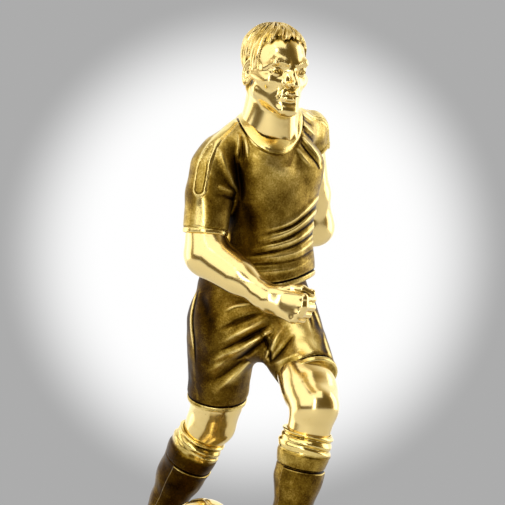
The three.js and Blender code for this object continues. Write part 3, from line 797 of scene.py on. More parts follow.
class Leg:
    """One leg. heading is where its foot points, swell how far out the thigh stands over the knee, and
    sock_top how far below the knee its sock starts."""

    def __init__(self, hip, knee, ankle, hem, heading, hem_radius, swell, sock_top, patina):
        self.hip, self.knee, self.ankle, self.hem = vec(*hip), vec(*knee), vec(*ankle), vec(*hem)
        self.heading, self.hem_radius, self.swell = heading, hem_radius, vec(swell, 0, 0)
        self.sock_top, self.patina = sock_top, patina

    def past_hem(self, p):
        return past(p, self.hip, self.hem)

    def trouser(self, p, inset=0.0):
        """The loose leg of the shorts, not yet cut off at the hem."""
        end = self.hem_radius + (self.hem_radius - THIGH) * 0.3
        return bone(p, self.hip, mix(self.hip, self.hem, 1.3), THIGH - inset, end - inset)

    def shorts_leg(self, p):
        s = self.past_hem(p)
        return both(self.trouser(p) - hem_band(s, 2.3), s, 0.5)

    def hem_hollow(self, p):
        """The space just inside the hem."""
        return both(self.trouser(p, HEM_DEPTH), -self.past_hem(p) - 2.5, 1)

    def bare(self, p):
        """The thigh and the top of the shin, under the clothes."""
        above = mix(self.hip, self.knee, 0.8) + self.swell
        d = chain(p, [mix(self.hip, self.knee, 0.5), above, self.knee], [11.4, 11.6, 10.7], 3)
        return join(d, bone(p, self.knee, mix(self.knee, self.ankle, 0.3), 10.6, 9.4), 2)

    def knee_casting(self, p):
        front = unit(-(unit(self.hip - self.knee) + unit(self.ankle - self.knee)))
        thigh = unit(self.knee - self.hip)
        side = unit(np.cross(front, thigh))
        d = join(self.bare(p), ovoid(p, self.knee + front * 5.0, (6.4, 6.4, 7.0)), 6)
        for s in (-1, 1):
            upper = self.knee - thigh * 18 + side * s * 4.2 + front * 2.8
            lower = self.knee - thigh * 8 + side * s * 4.6 + front * 3.4
            d = join(d, bone(p, upper, lower, 6.6, 5.4), 6)
        return d

    def sock_rubbed(self, p):
        s = (p - self.knee) @ unit(self.ankle - self.knee) - self.sock_top
        cuff = step(s, 9, 11) * step(-s, -17, -15.5) * step(-p[:, 1], -20, 60)
        return 0.95 * step(-s, -10.5, -8) + 0.35 * cuff - self.patina

    def sock_form(self, p):
        """A football sock over a shin guard, without the hollow for the leg."""
        axis, length = unit(self.ankle - self.knee), np.linalg.norm(self.ankle - self.knee)
        ahead = Place(self.knee, self.heading).axes[1]
        front = unit(ahead - (ahead @ axis) * axis)
        side = unit(np.cross(axis, front))
        at = lambda share, out: self.knee + axis * (length * share) + front * out
        top = self.sock_top
        s = (p - self.knee) @ axis
        turn = np.arctan2((p - self.knee) @ side, (p - self.knee) @ front)
        calf = [at(0.1, 0), at(0.3, -0.6), at(0.5, -0.8), at(0.74, 0), at(1.0, 0.3)]
        d = chain(p, calf, [11.0, 11.4, 10.3, 7.7, 6.9], 3)
        d = join(d, chain(p, [at(0.28, -5.2), at(0.45, -4.4)], [7.4, 5.8], 2), 4)
        d = join(d, bone(p, at(0.2, 4.2), at(0.72, 2.6), 6.6, 5.0), 3)
        guard = step(1.35 - np.abs(turn), 0, 0.10) * step(s, top + 17, top + 17.8)
        guard = guard * step(-s, -length * 0.84, -length * 0.8)
        band = np.abs(turn) < 1.45
        stretched = 0.35 * step(s, top + 9.5, top + 10.5) * step(-s, -top - 16.6, -top - 16) * band
        d = d - 0.95 * guard - stretched + 0.3 * bump(s - top - 16.8, 0.5)
        d = d - sock_rings(s - top, turn)
        creases = bump(s - length * 0.88, 0.9) - 0.8 * bump(s - length * 0.92, 0.8)
        creases = creases + bump(s - length * 0.96, 0.9)
        d = d - 0.5 * creases * (0.6 + 0.4 * np.cos(turn))
        d = d - 0.3 * rough(p * vec(1, 1, 0.7), 6.0, 2, seed=31) * step(s, top + 10, top + 20)
        return both(d, top - s, 0.8)

    def sock(self, p):
        axis, length = unit(self.ankle - self.knee), np.linalg.norm(self.ankle - self.knee)
        shin = bone(p, self.knee, self.knee + axis * (length * 0.3), 10.6, 9.4)
        return cut(self.sock_form(p), shin - SEAT, 0.3)


RIGHT_LEG = Leg((-2.3, -3, 117), (-9.2, 17, 68.5), (-37.6, 46, 15.5), hem=(-5.8, 12.5, 79), heading=42,
                hem_radius=13.6, swell=2.1, sock_top=7, patina=0.35)
LEFT_LEG = Leg((24.5, 3, 118), (39, -32, 78), (24.5, -22, 12.5), hem=(37.3, -21, 90), heading=28,
               hem_radius=13.4, swell=0.6, sock_top=11, patina=0.08)
LEGS = (RIGHT_LEG, LEFT_LEG)


# ---- shorts

SHORTS_FOLDS = {
    "front": [
        ([(-2, 121.5), (3.5, 124.2), (10.5, 124.6)], 0.9, 1.1, 0.8),
        ([(-4, 113), (6, 117.6), (16, 121)], 1.4, -1.0, -1.3),
        ([(-3, 107), (8, 113), (19.5, 118.6)], 1.3, 1.0, 1.5),
        ([(-4, 103), (8, 109), (20, 115.6)], 1.2, -0.8, -1.8),
        ([(0, 101), (10, 106.4), (20.8, 113.2)], 1.2, 1.0, 1.7),
        ([(-2, 97), (8, 102), (18.5, 109.5)], 1.3, -0.7, -1.7),
        ([(-9, 97.4), (-2, 101), (5, 104.4)], 1.8, 1.3, 0.8),
        ([(-13, 91.5), (-3, 97.0), (9.5, 105)], 1.6, 0.7, 1.4),
        ([(-14, 86), (-4, 91), (8, 100)], 1.6, -0.7, -1.1),
        ([(-6, 84), (2, 90), (9.5, 98)], 1.5, 0.8, 1.3),
        ([(14, 113), (18, 106), (19.5, 98)], 1.2, -1.4, -1.0),
        ([(16, 98), (20.5, 107), (26, 116)], 1.3, 1.7, 0.7),
        ([(19, 97), (25, 104), (31, 112)], 1.2, -1.1, -0.4),
        ([(16, 96), (24, 99), (33, 104)], 1.1, 0.7, 0.4),
        ([(38, 125), (41, 119), (43, 113)], 1.1, 0.8, 0.4),
        ([(34, 124), (37, 119), (38.5, 112)], 0.9, -0.7, -0.3),
        ([(44, 112), (45.5, 105), (48, 99)], 1.2, 0.7, 0.6),
        ([(-13, 130), (-9, 118), (-9, 108)], 2.4, -0.8, -0.4),
    ],
    "back": [
        ([(10, 128), (11.5, 115), (13, 104)], 1.7, -1.3, -1.2),
        ([(-14, 118), (-4, 112), (8, 108)], 1.7, 0.9, 1.0),
        ([(-16, 110), (-5, 105), (8, 102)], 1.5, -0.8, -0.9),
        ([(34, 122), (26, 114), (17, 108)], 1.8, 0.9, 1.0),
        ([(38, 112), (28, 106), (18, 103)], 1.6, -0.8, -0.9),
        ([(-14, 98), (-6, 94), (4, 92)], 1.6, 0.7, 0.5),
        ([(40, 104), (33, 99), (26, 96)], 1.5, 0.7, 0.6),
    ],
}
SIDE_SEAM = [(-15.2, 131), (-17.6, 118), (-16.6, 104), (-16.2, 92), (-14.6, 80)]
SEAM = {"front": [
    (SIDE_SEAM, 0.45, 0.55, 0.55),
    ([(x + 1.1, z) for x, z in SIDE_SEAM], 0.5, -0.5, -0.5),
]}


def shorts_wear_and_painted_light(p):
    """Gold on the hems, side seam, folds and the front of the left thigh, and painted shade at the hips'
    sides.
    """
    hems = sum(step(leg.past_hem(p), -2.6, -2.0) * (bone(p, leg.hip, leg.hem, 15, 15) < 6) for leg in LEGS)
    thigh, _ = course(p[:, [0, 2]], np.float32([(33, 118), (38.5, 97)]))
    seam, _ = course(p[:, [0, 2]], smooth_curve(SIDE_SEAM))
    folds = 0.45 * relief(p, SHORTS_FOLDS, HIPS.centre)
    # painted shade: the shorts darker down both sides of the hips
    sides = 0.45 * step(np.abs(HIPS.local(p)[:, 0]), 17, 25)
    gold = 0.6 * hems + 1.1 * bump(thigh, 6) * step(-p[:, 1], 0, 8) + 0.3 * bump(seam, 0.7)
    return gold + folds - sides - 0.12


def shorts_form(p):
    hips = HIPS.local(p)
    d = ovoid(hips, (0, 0, 4), (26.4, 19.4, 26))
    d = join(d, ovoid(hips, (0, 1, -8), (29.0, 20.5, 19)), 5)
    d = join(d, ovoid(hips, (-12, -10, -2), (12, 12, 14)), 5)
    return join(d, ovoid(hips, (12, -10, -2), (12, 12, 14)), 5)


def shorts_outside(p):
    d = shorts_form(p)
    for leg in LEGS:
        d = join(d, leg.shorts_leg(p), 3.5)
    soft = 0.6 * rough(p * vec(1, 1, 0.7), 9.0, 2, seed=23)
    right_clear, left_clear = (step(-leg.past_hem(p), 2.5, 5) for leg in LEGS)
    clear = np.where(p[:, 0] < HIPS.centre[0] + 4, right_clear, left_clear)
    d = d - (relief(p, SHORTS_FOLDS, HIPS.centre) + soft) * clear
    return d - relief(p, SEAM, HIPS.centre)


def shorts(p):
    d = cut(shorts_outside(p), RIGHT_LEG.hem_hollow(p), 0.4)
    for leg in LEGS:
        d = cut(d, leg.bare(p) - SEAT, 0.3)
    return both(d, p[:, 2] - 147, 1)


# ---- boots


class Boot:
    """A football boot. lift tips the heel off the ground."""

    def __init__(self, ankle, heading, lift=0.0):
        self.ankle = ankle
        self.flat = Place(vec(ankle[0], ankle[1], 0), heading)
        self.at = Place(self.flat.point(0, 21, 2.6), heading, lean=lift)
        self.height = float(self.at.local(ankle[None])[0, 2])
        self.back = float(self.at.local(ankle[None])[0, 1])

    def upper(self, q):
        ankle = vec(0, self.back, self.height)
        heel = vec(0, self.back - 3.5, 5.4)
        d = chain(q, [heel, vec(0.4, 0, 4.4), vec(0.6, 8.6, 3.6)], [6.0, 7.2, 5.3], 3, (vec(0, 0, 1), 1.08))
        d = join(d, bone(q, ankle, vec(0.4, -3.5, 6.6), 7.5, 5.8), 3)
        d = join(d, bone(q, ankle + vec(0, -0.5, -1), heel, 7.5, 6.4), 3)
        return both(d, -q[:, 2], 0.8)

    def sole(self, q):
        line = [vec(0, self.back - 3.5, 0), vec(0.2, -8, 0), vec(0.6, 2, 0), vec(0.6, 9, 0)]
        d = chain(q * vec(1, 1, 0), line, [6.5, 5.8, 7.9, 5.9], 3)
        return both(d, np.abs(q[:, 2] + 0.2) - 1.0, 0.7)

    def laces(self, q):
        d = None
        top = vec(0.2, self.back + 7.5, self.height - 1.5)
        toe = vec(0.5, 2.5, 9.4)
        for i in range(5):
            middle = mix(top, toe, i / 4)
            reach = 3.4 - 0.25 * i
            for s in (-1, 1):
                outer = vec(s * reach, -s * 0.9, 0)
                down = vec(0, 0, -1.2)
                ends = [middle - outer + down, middle + vec(0, 0, 0.35), middle + outer + down]
                d = join(d, chain(q, ends, [0.5, 0.5, 0.5], 0.3), 0.2)
        return d

    def cleats(self, p):
        d = None
        for ahead, side in ((-7, 3.1), (17, 4.6), (27, 3.8)):
            for s in (-1, 1):
                foot = self.flat.point(s * side, ahead, 0.5)
                if self.at.local(foot[None])[0, 2] < -4.5:
                    continue
                d = join(d, bone(p, foot, foot + vec(0, 0, 3), 1.1, 1.7), 0.3)
        return both(d, 0.3 - p[:, 2], 0.2)

    def field(self, p):
        q = self.at.local(p)
        upper = self.upper(q)
        throat = chain(q, [vec(0.2, self.back + 8, self.height - 2.5), vec(0.5, 2.5, 8.2)], [3.4, 2.6], 1)
        upper = upper + 0.4 * bump(throat, 0.35)
        counter = size((q - vec(0, self.back - 6, 3)) * vec(1, 1, 1.1)) - 9.5
        cap = size(q - vec(0.6, 10.5, 0)) - 8.6
        upper = upper + 0.3 * bump(counter, 0.3) + 0.3 * bump(cap, 0.3)
        side_line = np.abs(q[:, 2] - 3.2 - 0.12 * q[:, 1])
        upper = upper - 0.3 * bump(side_line, 0.7) * step(-np.abs(q[:, 1] + 9), -6, -4)
        d = join(join(upper, self.sole(q), 0.4), self.laces(q), 0.25)
        d = join(d, self.cleats(p), 0.4)
        collar = bone(p, self.ankle + vec(0, 0, 3), self.ankle + vec(0, 0, 4.4), 7.9, 7.9)
        d = join(d, both(collar, p[:, 2] - self.ankle[2] - 5.4, 0.8), 0.8)
        opening = bone(p, self.ankle, self.ankle + vec(0, 0, 30), 7.0, 7.4)
        return cut(both(d, 0.35 - p[:, 2], 0.2), opening, 0.3)


RIGHT_BOOT = Boot(RIGHT_LEG.ankle, RIGHT_LEG.heading, lift=13)
LEFT_BOOT = Boot(LEFT_LEG.ankle, LEFT_LEG.heading)


# ---- ball


# how far a football's flat panels lie from its middle, as a share of its corners' distance
FIVE_SIDED, SIX_SIDED = 0.9393, 0.9149


def ball_directions():
    """The middles of a football's 12 five-sided and 20 six-sided panels, each over its panel's distance."""
    golden = (1 + 5**0.5) / 2
    five = []
    for a, b in itertools.product((-1, 1), (-golden, golden)):
        five += [(0, a, b), (a, b, 0), (b, 0, a)]
    five = np.array(five) / np.linalg.norm(five[0])
    near = np.linalg.norm(five[:, None] - five[None], axis=2)
    side = near[near > 0.1].min() * 1.01
    trios = itertools.combinations(range(12), 3)
    faces = [c for c in trios if all(near[a, b] < side for a, b in itertools.combinations(c, 2))]
    six = np.array([five[list(c)].sum(0) for c in faces])
    six /= np.linalg.norm(six[0])
    return np.vstack([five / FIVE_SIDED, six / SIX_SIDED]).astype(np.float32)


PANELS = ball_directions()


def ball(p):
    low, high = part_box("ball_casting")
    centre = np.array((low + high) / 2 / MM, np.float32) - vec(0, 0, GROUND)
    radius = (high.x - low.x) / 2 / MM
    q = (p - centre) @ Place(centre, 25, 18).axes.T
    away = size(q)
    facing = (q / np.maximum(away, 1e-3)[:, None]) @ PANELS.T
    facing.sort(axis=1)
    seam = (facing[:, -1] - facing[:, -2]) * radius * 0.9
    return away - radius + 0.5 * bump(seam, 0.45) - 0.12 * step(seam, 0.6, 3.5)


# ---- turf and name plate

TURF_HALF = (58, 52)
TURF_THICK = 3.2
TURF_EDGE = 1.2  # a plain rim left round the grass


def slab(p, half_x, half_y, low, high, bevel):
    """A block with rounded edges, about the z axis."""
    q = np.stack([np.abs(p[:, 0]) - half_x, np.abs(p[:, 1]) - half_y,
                  np.abs(p[:, 2] - (low + high) / 2) - (high - low) / 2], 1) + bevel
    return size(np.maximum(q, 0)) + np.minimum(q.max(1), 0) - bevel


def turf(p):
    """Cast turf: short tufts that lean different ways."""
    inside = np.minimum(TURF_HALF[0] - np.abs(p[:, 0]), TURF_HALF[1] - np.abs(p[:, 1]))
    flat = p * vec(1, 1, 0)
    lean = noise(flat / 9, 41) * 2.5
    across = np.stack([flat[:, 0] * np.cos(lean) + flat[:, 1] * np.sin(lean),
                       flat[:, 1] * np.cos(lean) - flat[:, 0] * np.sin(lean), 0 * lean], 1)
    small = np.abs(noise(across * vec(1.5, 0.4, 1) + 7, 43))
    blades = np.abs(noise(across * vec(0.9, 0.26, 1), 42)) + 0.7 * small
    height = -1.3 + 1.05 * np.clip(1.25 - 1.5 * blades, 0, 1.2) + 0.35 * noise(flat / 13, 44)
    height = np.minimum(height, -0.1) * step(inside, TURF_EDGE, TURF_EDGE + 1.0)
    body = slab(p, *TURF_HALF, -TURF_THICK, 0, 0.5)
    return both(body, (p[:, 2] - height) * 0.6, 0.2)


PLATE_LOW, PLATE_HIGH = (np.array(corner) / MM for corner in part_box("name_plate"))


def name_plate(p):
    """A plain brass plate with a bevelled edge and an engraved double border, left blank."""
    centre = ((PLATE_LOW + PLATE_HIGH) / 2 - (0, 0, GROUND)).astype(np.float32)
    half = ((PLATE_HIGH - PLATE_LOW) / 2).astype(np.float32)
    q = p - centre
    upright = np.stack([q[:, 0], q[:, 2], -q[:, 1]], 1)
    d = slab(upright, half[0], half[2], -half[1], half[1], 0.35)
    edge = np.minimum(half[0] - np.abs(q[:, 0]), half[2] - np.abs(q[:, 2]))
    line = bump(edge - 1.7, 0.28) + 0.7 * bump(edge - 2.6, 0.2)
    for s in (-1, 1):
        pin = size(upright * vec(1, 1, 0) - vec(s * (half[0] - 4.6), 0, 0))
        line = line + 1.5 * bump(pin - 1.5, 0.25)
    return d + 0.22 * line * step(upright[:, 2], 0, half[1] * 0.5)


# ---- finishes


class Nodes:
    """A node tree being built. Each call adds one node and gives back what comes out of it."""

    def __init__(self, tree):
        self.nodes, self.links = tree.nodes, tree.links

    def feed(self, socket, value):
        if isinstance(value, bpy.types.NodeSocket):
            self.links.new(value, socket)
        elif socket.type == "RGBA":
            socket.default_value = (*value, 1)
        else:
            socket.default_value = value

    def node(self, kind, out=0, props=None, **inputs):
        made = self.nodes.new("ShaderNode" + kind)
        for name, value in (props or {}).items():
            setattr(made, name, value)
        for name, value in inputs.items():
            self.feed(made.inputs[name.replace("_", " ")], value)
        return made.outputs[out]

    def spread(self, value, low, high, to_low=0.0, to_high=1.0, shape="LINEAR"):
        ends = {"From_Min": low, "From_Max": high, "To_Min": to_low, "To_Max": to_high}
        return self.node("MapRange", 0, {"interpolation_type": shape}, Value=value, **ends)

    def blend(self, factor, a, b):
        made = self.nodes.new("ShaderNodeMix")
        made.data_type = "RGBA"
        self.feed(made.inputs["Factor"], factor)
        self.feed(made.inputs[6], a)
        self.feed(made.inputs[7], b)
        return made.outputs[2]


class Finish(Nodes):
    """A material being built."""

    def __init__(self, name):
        self.material = bpy.data.materials.new(name)
        self.material.use_nodes = True
        super().__init__(self.material.node_tree)
        self.surface = self.nodes["Principled BSDF"].inputs

    def where(self):
        return self.node("TexCoord", "Object")

    def sculpted(self, attribute):
        return self.node("Attribute", "Fac", {"attribute_name": attribute})

    def noise(self, size_mm, detail=3.0, roughness=0.55, stretch=None):
        place = self.where()
        if stretch:
            place = self.node("Mapping", Vector=place, Scale=stretch)
        scale = 1 / (size_mm * MM)
        return self.node("TexNoise", "Fac", Vector=place, Scale=scale, Detail=detail, Roughness=roughness)

    def cells(self, size_mm, out="Distance"):
        return self.node("TexVoronoi", out, Vector=self.where(), Scale=1 / (size_mm * MM))

    def math(self, operation, a, b=0.0):
        made = self.nodes.new("ShaderNodeMath")
        made.operation = operation
        self.feed(made.inputs[0], a)
        self.feed(made.inputs[1], b)
        return made.outputs[0]

    def total(self, base, *terms):
        """base plus each term times its amount."""
        for value, amount in terms:
            base = self.math("ADD", self.math("MULTIPLY", value, amount), base)
        return base

    def ramp(self, value, *stops):
        made = self.nodes.new("ShaderNodeValToRGB")
        for at, _ in stops[1:-1]:
            made.color_ramp.elements.new(at)
        for element, (at, colour) in zip(made.color_ramp.elements, stops):
            element.position, element.color = at, (*colour, 1)
        self.feed(made.inputs[0], value)
        return made.outputs[0]

    def bumpy(self, height, depth_mm, strength=1.0):
        made = self.node("Bump", Height=height, Distance=depth_mm * MM, Strength=strength)
        self.feed(self.surface["Normal"], made)

    def finish(self, colour, metallic, roughness, **others):
        inputs = {"Base Color": colour, "Metallic": metallic, "Roughness": roughness, **others}
        for name, value in inputs.items():
            self.feed(self.surface[name.replace("_", " ")], value)
        return self.material


def polished_brass(name="polished_brass", sculpted=True):
    """Buffed brass: bright where a mop reaches it, brown where it can't, with casting pits."""
    f = Finish(name)
    hollow = f.sculpted("relief") if sculpted else 0.0
    cloud, grain, polish_and_painted_light = f.noise(9, 3), f.noise(0.9, 3), f.sculpted("wear_and_painted_light")
    dirt = f.total(-0.32, (hollow, 1.15), (polish_and_painted_light, -0.5), (cloud, 0.35), (grain, 0.22))
    everywhere, kept = f.spread(f.cells(1.7), 0.02, 0.11, 1.0, 0.0), f.spread(f.noise(6, 1), 0.56, 0.6)
    pits = f.math("MULTIPLY", everywhere, kept)
    tone = f.math("MAXIMUM", dirt, f.math("MULTIPLY", pits, 0.75))
    colour = f.ramp(tone, (0.0, (0.95, 0.75, 0.33)), (0.22, (0.78, 0.54, 0.13)), (0.5, (0.28, 0.17, 0.022)),
                    (0.9, (0.045, 0.026, 0.006)))
    f.bumpy(f.total(0.0, (f.noise(8, 1), 0.30), (grain, 0.04), (pits, -0.12)), 0.16, 0.45)
    return f.finish(colour, 1.0, f.total(0.16, (f.math("MAXIMUM", tone, 0.0), 0.42), (f.noise(14, 2), 0.05)))


def patinated_brass(name="patinated_brass", gold=0.0, gloss=0.44):
    """Brass darkened with liver of sulphur, then worn back on every ridge, plus painted highlights and
    painted shade from the jersey's and shorts' wear attribute. gold shifts the balance.
    """
    f = Finish(name)
    cloud, patch, grain, fine = f.noise(20, 2), f.noise(4.5, 3), f.noise(0.8, 2), f.noise(0.33, 1)
    hollow, polish_and_painted_light = f.sculpted("relief"), f.sculpted("wear_and_painted_light")
    worn = (hollow, -1.6), (polish_and_painted_light, 0.6)
    wear_and_painted_light = f.total(gold - 0.23, *worn, (cloud, 0.62), (patch, 0.42), (grain, 0.40), (fine, 0.22))
    colour = f.ramp(wear_and_painted_light, (0.0, (0.012, 0.005, 0.0006)), (0.28, (0.062, 0.029, 0.0016)),
                    (0.5, (0.20, 0.118, 0.012)), (0.70, (0.48, 0.33, 0.065)), (0.95, (0.95, 0.76, 0.29)))
    shine = f.total(0.0, (wear_and_painted_light, 0.3), (polish_and_painted_light, 1.0))
    f.bumpy(f.total(0.0, (grain, 0.5), (fine, 0.35), (patch, 0.8)), 0.13, 0.6)
    return f.finish(colour, 1.0, f.spread(shine, 0.0, 1.0, gloss + 0.06, gloss - 0.24))


def green_stone():
    """Polished serpentine: green clouds, dark patches and thin pale veins."""
    f = Finish("green_stone")
    cloud, small = f.noise(22, 6, 0.62, (1, 1, 1.6)), f.noise(3.5, 5, 0.6)
    base = f.ramp(f.total(0.0, (cloud, 0.7), (small, 0.3)), (0.25, (0.010, 0.022, 0.012)),
                  (0.45, (0.022, 0.060, 0.030)), (0.58, (0.060, 0.135, 0.062)), (0.75, (0.16, 0.24, 0.12)))
    wander = f.node("TexNoise", "Color", Vector=f.where(), Scale=60.0, Detail=4.0)
    place = f.node("VectorMath", 0, {"operation": "ADD"}).node
    f.feed(place.inputs[0], f.where())
    f.feed(place.inputs[1], f.node("VectorMath", 0, {"operation": "SCALE"}, Scale=0.012, Vector=wander))
    edges = {"feature": "DISTANCE_TO_EDGE"}
    veins = f.node("TexVoronoi", "Distance", edges, Vector=place.outputs[0], Scale=38.0)
    thin = f.math("MULTIPLY", f.spread(veins, 0.0, 0.035, 1.0, 0.0), f.spread(f.noise(14, 2), 0.45, 0.6))
    f.bumpy(f.total(0.0, (small, 0.2), (thin, -0.3)), 0.05, 0.25)
    roughness = f.spread(small, 0.3, 0.7, 0.10, 0.2)
    colour = f.blend(thin, base, (0.48, 0.55, 0.40))
    return f.finish(colour, 0.0, roughness, Coat_Weight=0.35, Coat_Roughness=0.06)


def black_stone():
    """Polished gabbro: near black, with grey flecks and a few bright ones."""
    f = Finish("black_stone")
    spot, tiny = f.node("SeparateColor", 0, Color=f.cells(1.6, "Color")), f.noise(0.7, 3)
    base = f.ramp(f.total(0.0, (spot, 0.7), (tiny, 0.3)), (0.3, (0.006, 0.006, 0.007)),
                  (0.6, (0.016, 0.016, 0.017)), (0.78, (0.045, 0.045, 0.046)), (0.9, (0.16, 0.16, 0.155)))
    f.bumpy(tiny, 0.03, 0.2)
    return f.finish(base, 0.0, f.spread(tiny, 0.3, 0.7, 0.09, 0.18), Coat_Weight=0.3, Coat_Roughness=0.05)


def felt():
    f = Finish("felt")
    fibres, fluff = f.noise(0.5, 4, 0.7, (1, 1, 4)), f.noise(6, 3)
    shade = f.total(0.0, (fibres, 0.6), (fluff, 0.4))
    colour = f.ramp(shade, (0.3, (0.006, 0.020, 0.011)), (0.7, (0.022, 0.060, 0.034)))
    f.bumpy(fibres, 0.3, 0.9)
    return f.finish(colour, 0.0, f.spread(fibres, 0.3, 0.7, 0.85, 1.0), Sheen_Weight=0.4, Sheen_Roughness=0.5)


def steel():
    """Zinc-plated steel with a faint crystal bloom."""
    f = Finish("steel")
    bloom, fine = f.cells(1.3), f.noise(0.4, 2)
    shade = f.total(0.0, (bloom, 0.5), (fine, 0.5))
    colour = f.ramp(shade, (0.2, (0.40, 0.42, 0.44)), (0.8, (0.68, 0.69, 0.68)))
    f.bumpy(fine, 0.03, 0.4)
    return f.finish(colour, 1.0, f.spread(bloom, 0.0, 0.8, 0.22, 0.36))


FINISHES = {
    "polished_brass": polished_brass(),
    "turned_brass": polished_brass("turned_brass", sculpted=False),
    "patinated_brass": patinated_brass(),
    "sock_brass": patinated_brass("sock_brass", gold=-0.12, gloss=0.36),
    "turf_brass": patinated_brass("turf_brass", gold=0.02, gloss=0.46),
    "green_stone": green_stone(),
    "black_stone": black_stone(),
    "felt": felt(),
    "steel": steel(),
}

# ---- the pieces


# field, lowest and highest corner in mm, voxel in mm
PIECES = {
    "head": (head, (-2, -50, 180), (48, 10, 258), 0.30),
    "jersey": (jersey, (-26, -50, 126), (58, 34, 224), 0.42),
    "right_arm": (right_arm, (-26, -72, 106), (50, -12, 174), 0.34),
    "left_arm": (left_arm, (-20, 4, 138), (62, 68, 210), 0.36),
    "shorts": (shorts, (-28, -46, 68), (60, 38, 150), 0.42),
    "right_knee": (RIGHT_LEG.knee_casting, (-30, -14, 44), (14, 42, 106), 0.40),
    "left_knee": (LEFT_LEG.knee_casting, (14, -54, 54), (60, 2, 112), 0.40),
    "right_sock": (RIGHT_LEG.sock, (-56, 0, 2), (10, 66, 74), 0.38),
    "left_sock": (LEFT_LEG.sock, (6, -56, 2), (60, -4, 82), 0.38),
    "right_boot": (RIGHT_BOOT.field, (-64, -2, -1), (4, 72, 34), 0.34),
    "left_boot": (LEFT_BOOT.field, (2, -70, -1), (54, 2, 30), 0.34),
    "ball": (ball, (-34, -22, -2), (8, 22, 40), 0.34),
    "turf": (turf, (-60, -54, -5), (60, 54, 2), 0.50),
    "name_plate_face": (name_plate, PLATE_LOW - (1, 1, 1 + GROUND), PLATE_HIGH + (1, 1, 1 - GROUND), 0.24),
}
# the rest get the polished_brass finish
DARKENED = {
    "jersey": "patinated_brass",
    "shorts": "patinated_brass",
    "right_sock": "sock_brass",
    "left_sock": "sock_brass",
    "turf": "turf_brass",
}
# what wears each piece's patina back, with painted highlights and painted shade on the jersey and shorts
WEAR_AND_PAINTED_LIGHT_BY_PIECE = {
    "head": head_rubbed,
    "jersey": jersey_wear_and_painted_light,
    "shorts": shorts_wear_and_painted_light,
    "right_sock": RIGHT_LEG.sock_rubbed,
    "left_sock": LEFT_LEG.sock_rubbed,
}
FORMS = {
    "jersey": jersey_form,
    "shorts": shorts_outside,
    "right_sock": RIGHT_LEG.sock_form,
    "left_sock": LEFT_LEG.sock_form,
}
CAD_NODES = {"turf": "turf_plate", "name_plate_face": "name_plate"}

for name, (field, low, high, voxel) in PIECES.items():
    piece = sculpt(name, field, low, high, voxel, WEAR_AND_PAINTED_LIGHT_BY_PIECE.get(name), FORMS.get(name))
    piece.data.materials.append(FINISHES[DARKENED.get(name, "polished_brass")])
    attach(piece, "root")
    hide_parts(CAD_NODES.get(name, name + "_casting"))

NODE_FINISH = {"plinth_block": "green_stone", "plinth_slab": "black_stone", "felt_pad": "felt"}
for name, node in frame["nodes"].items():
    fixing = "steel" if name.endswith(("_stud", "_washer", "_nut")) else "turned_brass"
    node.data.materials.clear()
    node.data.materials.append(FINISHES[NODE_FINISH.get(name, fixing)])

for name, width in (("plinth_block", 0.7), ("plinth_slab", 0.7), ("felt_pad", 0.3)):
    bevel = frame["nodes"][name].modifiers.new("softened_edges", "BEVEL")
    bevel.width, bevel.segments, bevel.limit_method = width * MM, 3, "ANGLE"
    bevel.harden_normals = True

# ---- floor, light and camera

FLOOR_RADIUS, FLOOR_SIDES = 0.75, 96
MIDDLE = Vector((0.01, 0, 0.18))  # what the lights face
WARM = (1.0, 0.72, 0.25)
SOFTBOXES = {  # place, width and height in metres, power in watts
    "key_strip": ((-0.20, -0.97, 0.36), 0.18, 1.0, 2.6),
    "left_panel": ((-0.97, 0.28, 0.38), 0.6, 0.9, 2.0),
    "right_panel": ((0.98, 0.38, 0.35), 0.6, 1.0, 2.8),
    "high_panel": ((-0.70, -0.60, 0.67), 1.0, 1.0, 3.9),
    "top_panel": ((0.05, -0.45, 1.05), 0.75, 0.75, 2.2),
}
EYE = Vector((0.011, -1.3, (GROUND + 148.5) * MM))
SENSOR = 36.0
FRAME_WIDTH = 0.2357  # how much of the figure's plane the frame takes in


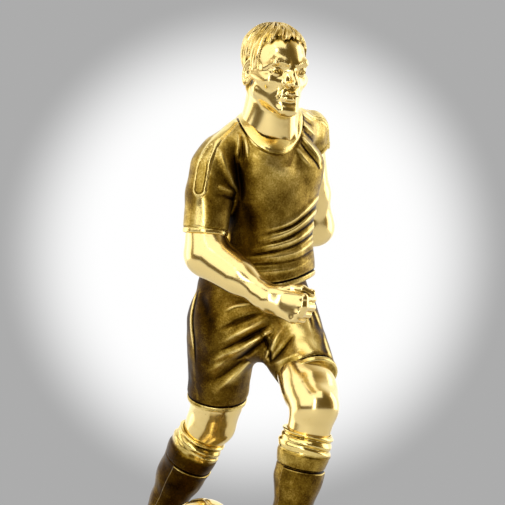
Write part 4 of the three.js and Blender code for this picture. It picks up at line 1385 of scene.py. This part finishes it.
def floor():
    made = bpy.data.meshes.new("floor")
    turns = [math.tau * i / FLOOR_SIDES for i in range(FLOOR_SIDES)]
    ring = [(FLOOR_RADIUS * math.cos(turn), FLOOR_RADIUS * math.sin(turn), 0) for turn in turns]
    made.from_pydata(ring, [], [list(range(FLOOR_SIDES))])
    f = Finish("floor")
    colour = f.ramp(f.noise(60, 2), (0.0, (0.74, 0.74, 0.74)), (1.0, (0.80, 0.80, 0.80)))
    made.materials.append(f.finish(colour, 0.0, 0.6))
    obj = bpy.data.objects.new("floor", made)
    bpy.context.scene.collection.objects.link(obj)


def softbox(name, place, width, height, power):
    """A panel of light that faces the figure and isn't seen itself."""
    light = bpy.data.lights.new(name, "AREA")
    light.shape, light.size, light.size_y = "RECTANGLE", width, height
    light.energy = power
    obj = bpy.data.objects.new(name, light)
    obj.location = place
    obj.rotation_euler = (MIDDLE - Vector(place)).to_track_quat("-Z", "Y").to_euler()
    obj.visible_camera = False
    bpy.context.scene.collection.objects.link(obj)


def world():
    """Pale behind the figure and grey at the sides. What it lights sees it bright behind and dim in front."""
    made = bpy.data.worlds.new("studio")
    bpy.context.scene.world = made
    made.use_nodes = True
    n = Nodes(made.node_tree)
    away = n.node("SeparateXYZ", "Y", Vector=n.node("TexCoord", "Generated"))

    def shade(low, high, dim, bright, front=(1, 1, 1)):
        """Light that grows from dim to bright as its direction turns away from the camera."""
        tint = n.blend(n.spread(away, -0.2, 0.5, shape="SMOOTHSTEP"), front, (1, 1, 1))
        strength = n.spread(away, low, high, dim, bright, "SMOOTHSTEP")
        return n.node("Background", Color=tint, Strength=strength)

    seen = shade(0.9957, 0.9986, 0.413, 1.0)
    lighting = shade(-0.4, 0.8, 0.12, 1.2, front=WARM)
    choose = n.nodes.new("ShaderNodeMixShader")
    for socket, value in zip(choose.inputs, (n.node("LightPath", "Is Camera Ray"), lighting, seen)):
        n.feed(socket, value)
    n.feed(n.nodes["World Output"].inputs["Surface"], choose.outputs[0])


floor()
world()
for name, settings in SOFTBOXES.items():
    softbox(name, *settings)

camera = bpy.data.cameras.new("camera")
camera.sensor_width = SENSOR
camera.lens = SENSOR * -EYE.y / FRAME_WIDTH
camera.clip_start = 0.05
eye = bpy.data.objects.new("camera", camera)
eye.location = EYE
eye.rotation_euler = (math.pi / 2, 0, 0)
bpy.context.scene.collection.objects.link(eye)
bpy.context.scene.camera = eye
bpy.context.scene.view_settings.view_transform = "Standard"
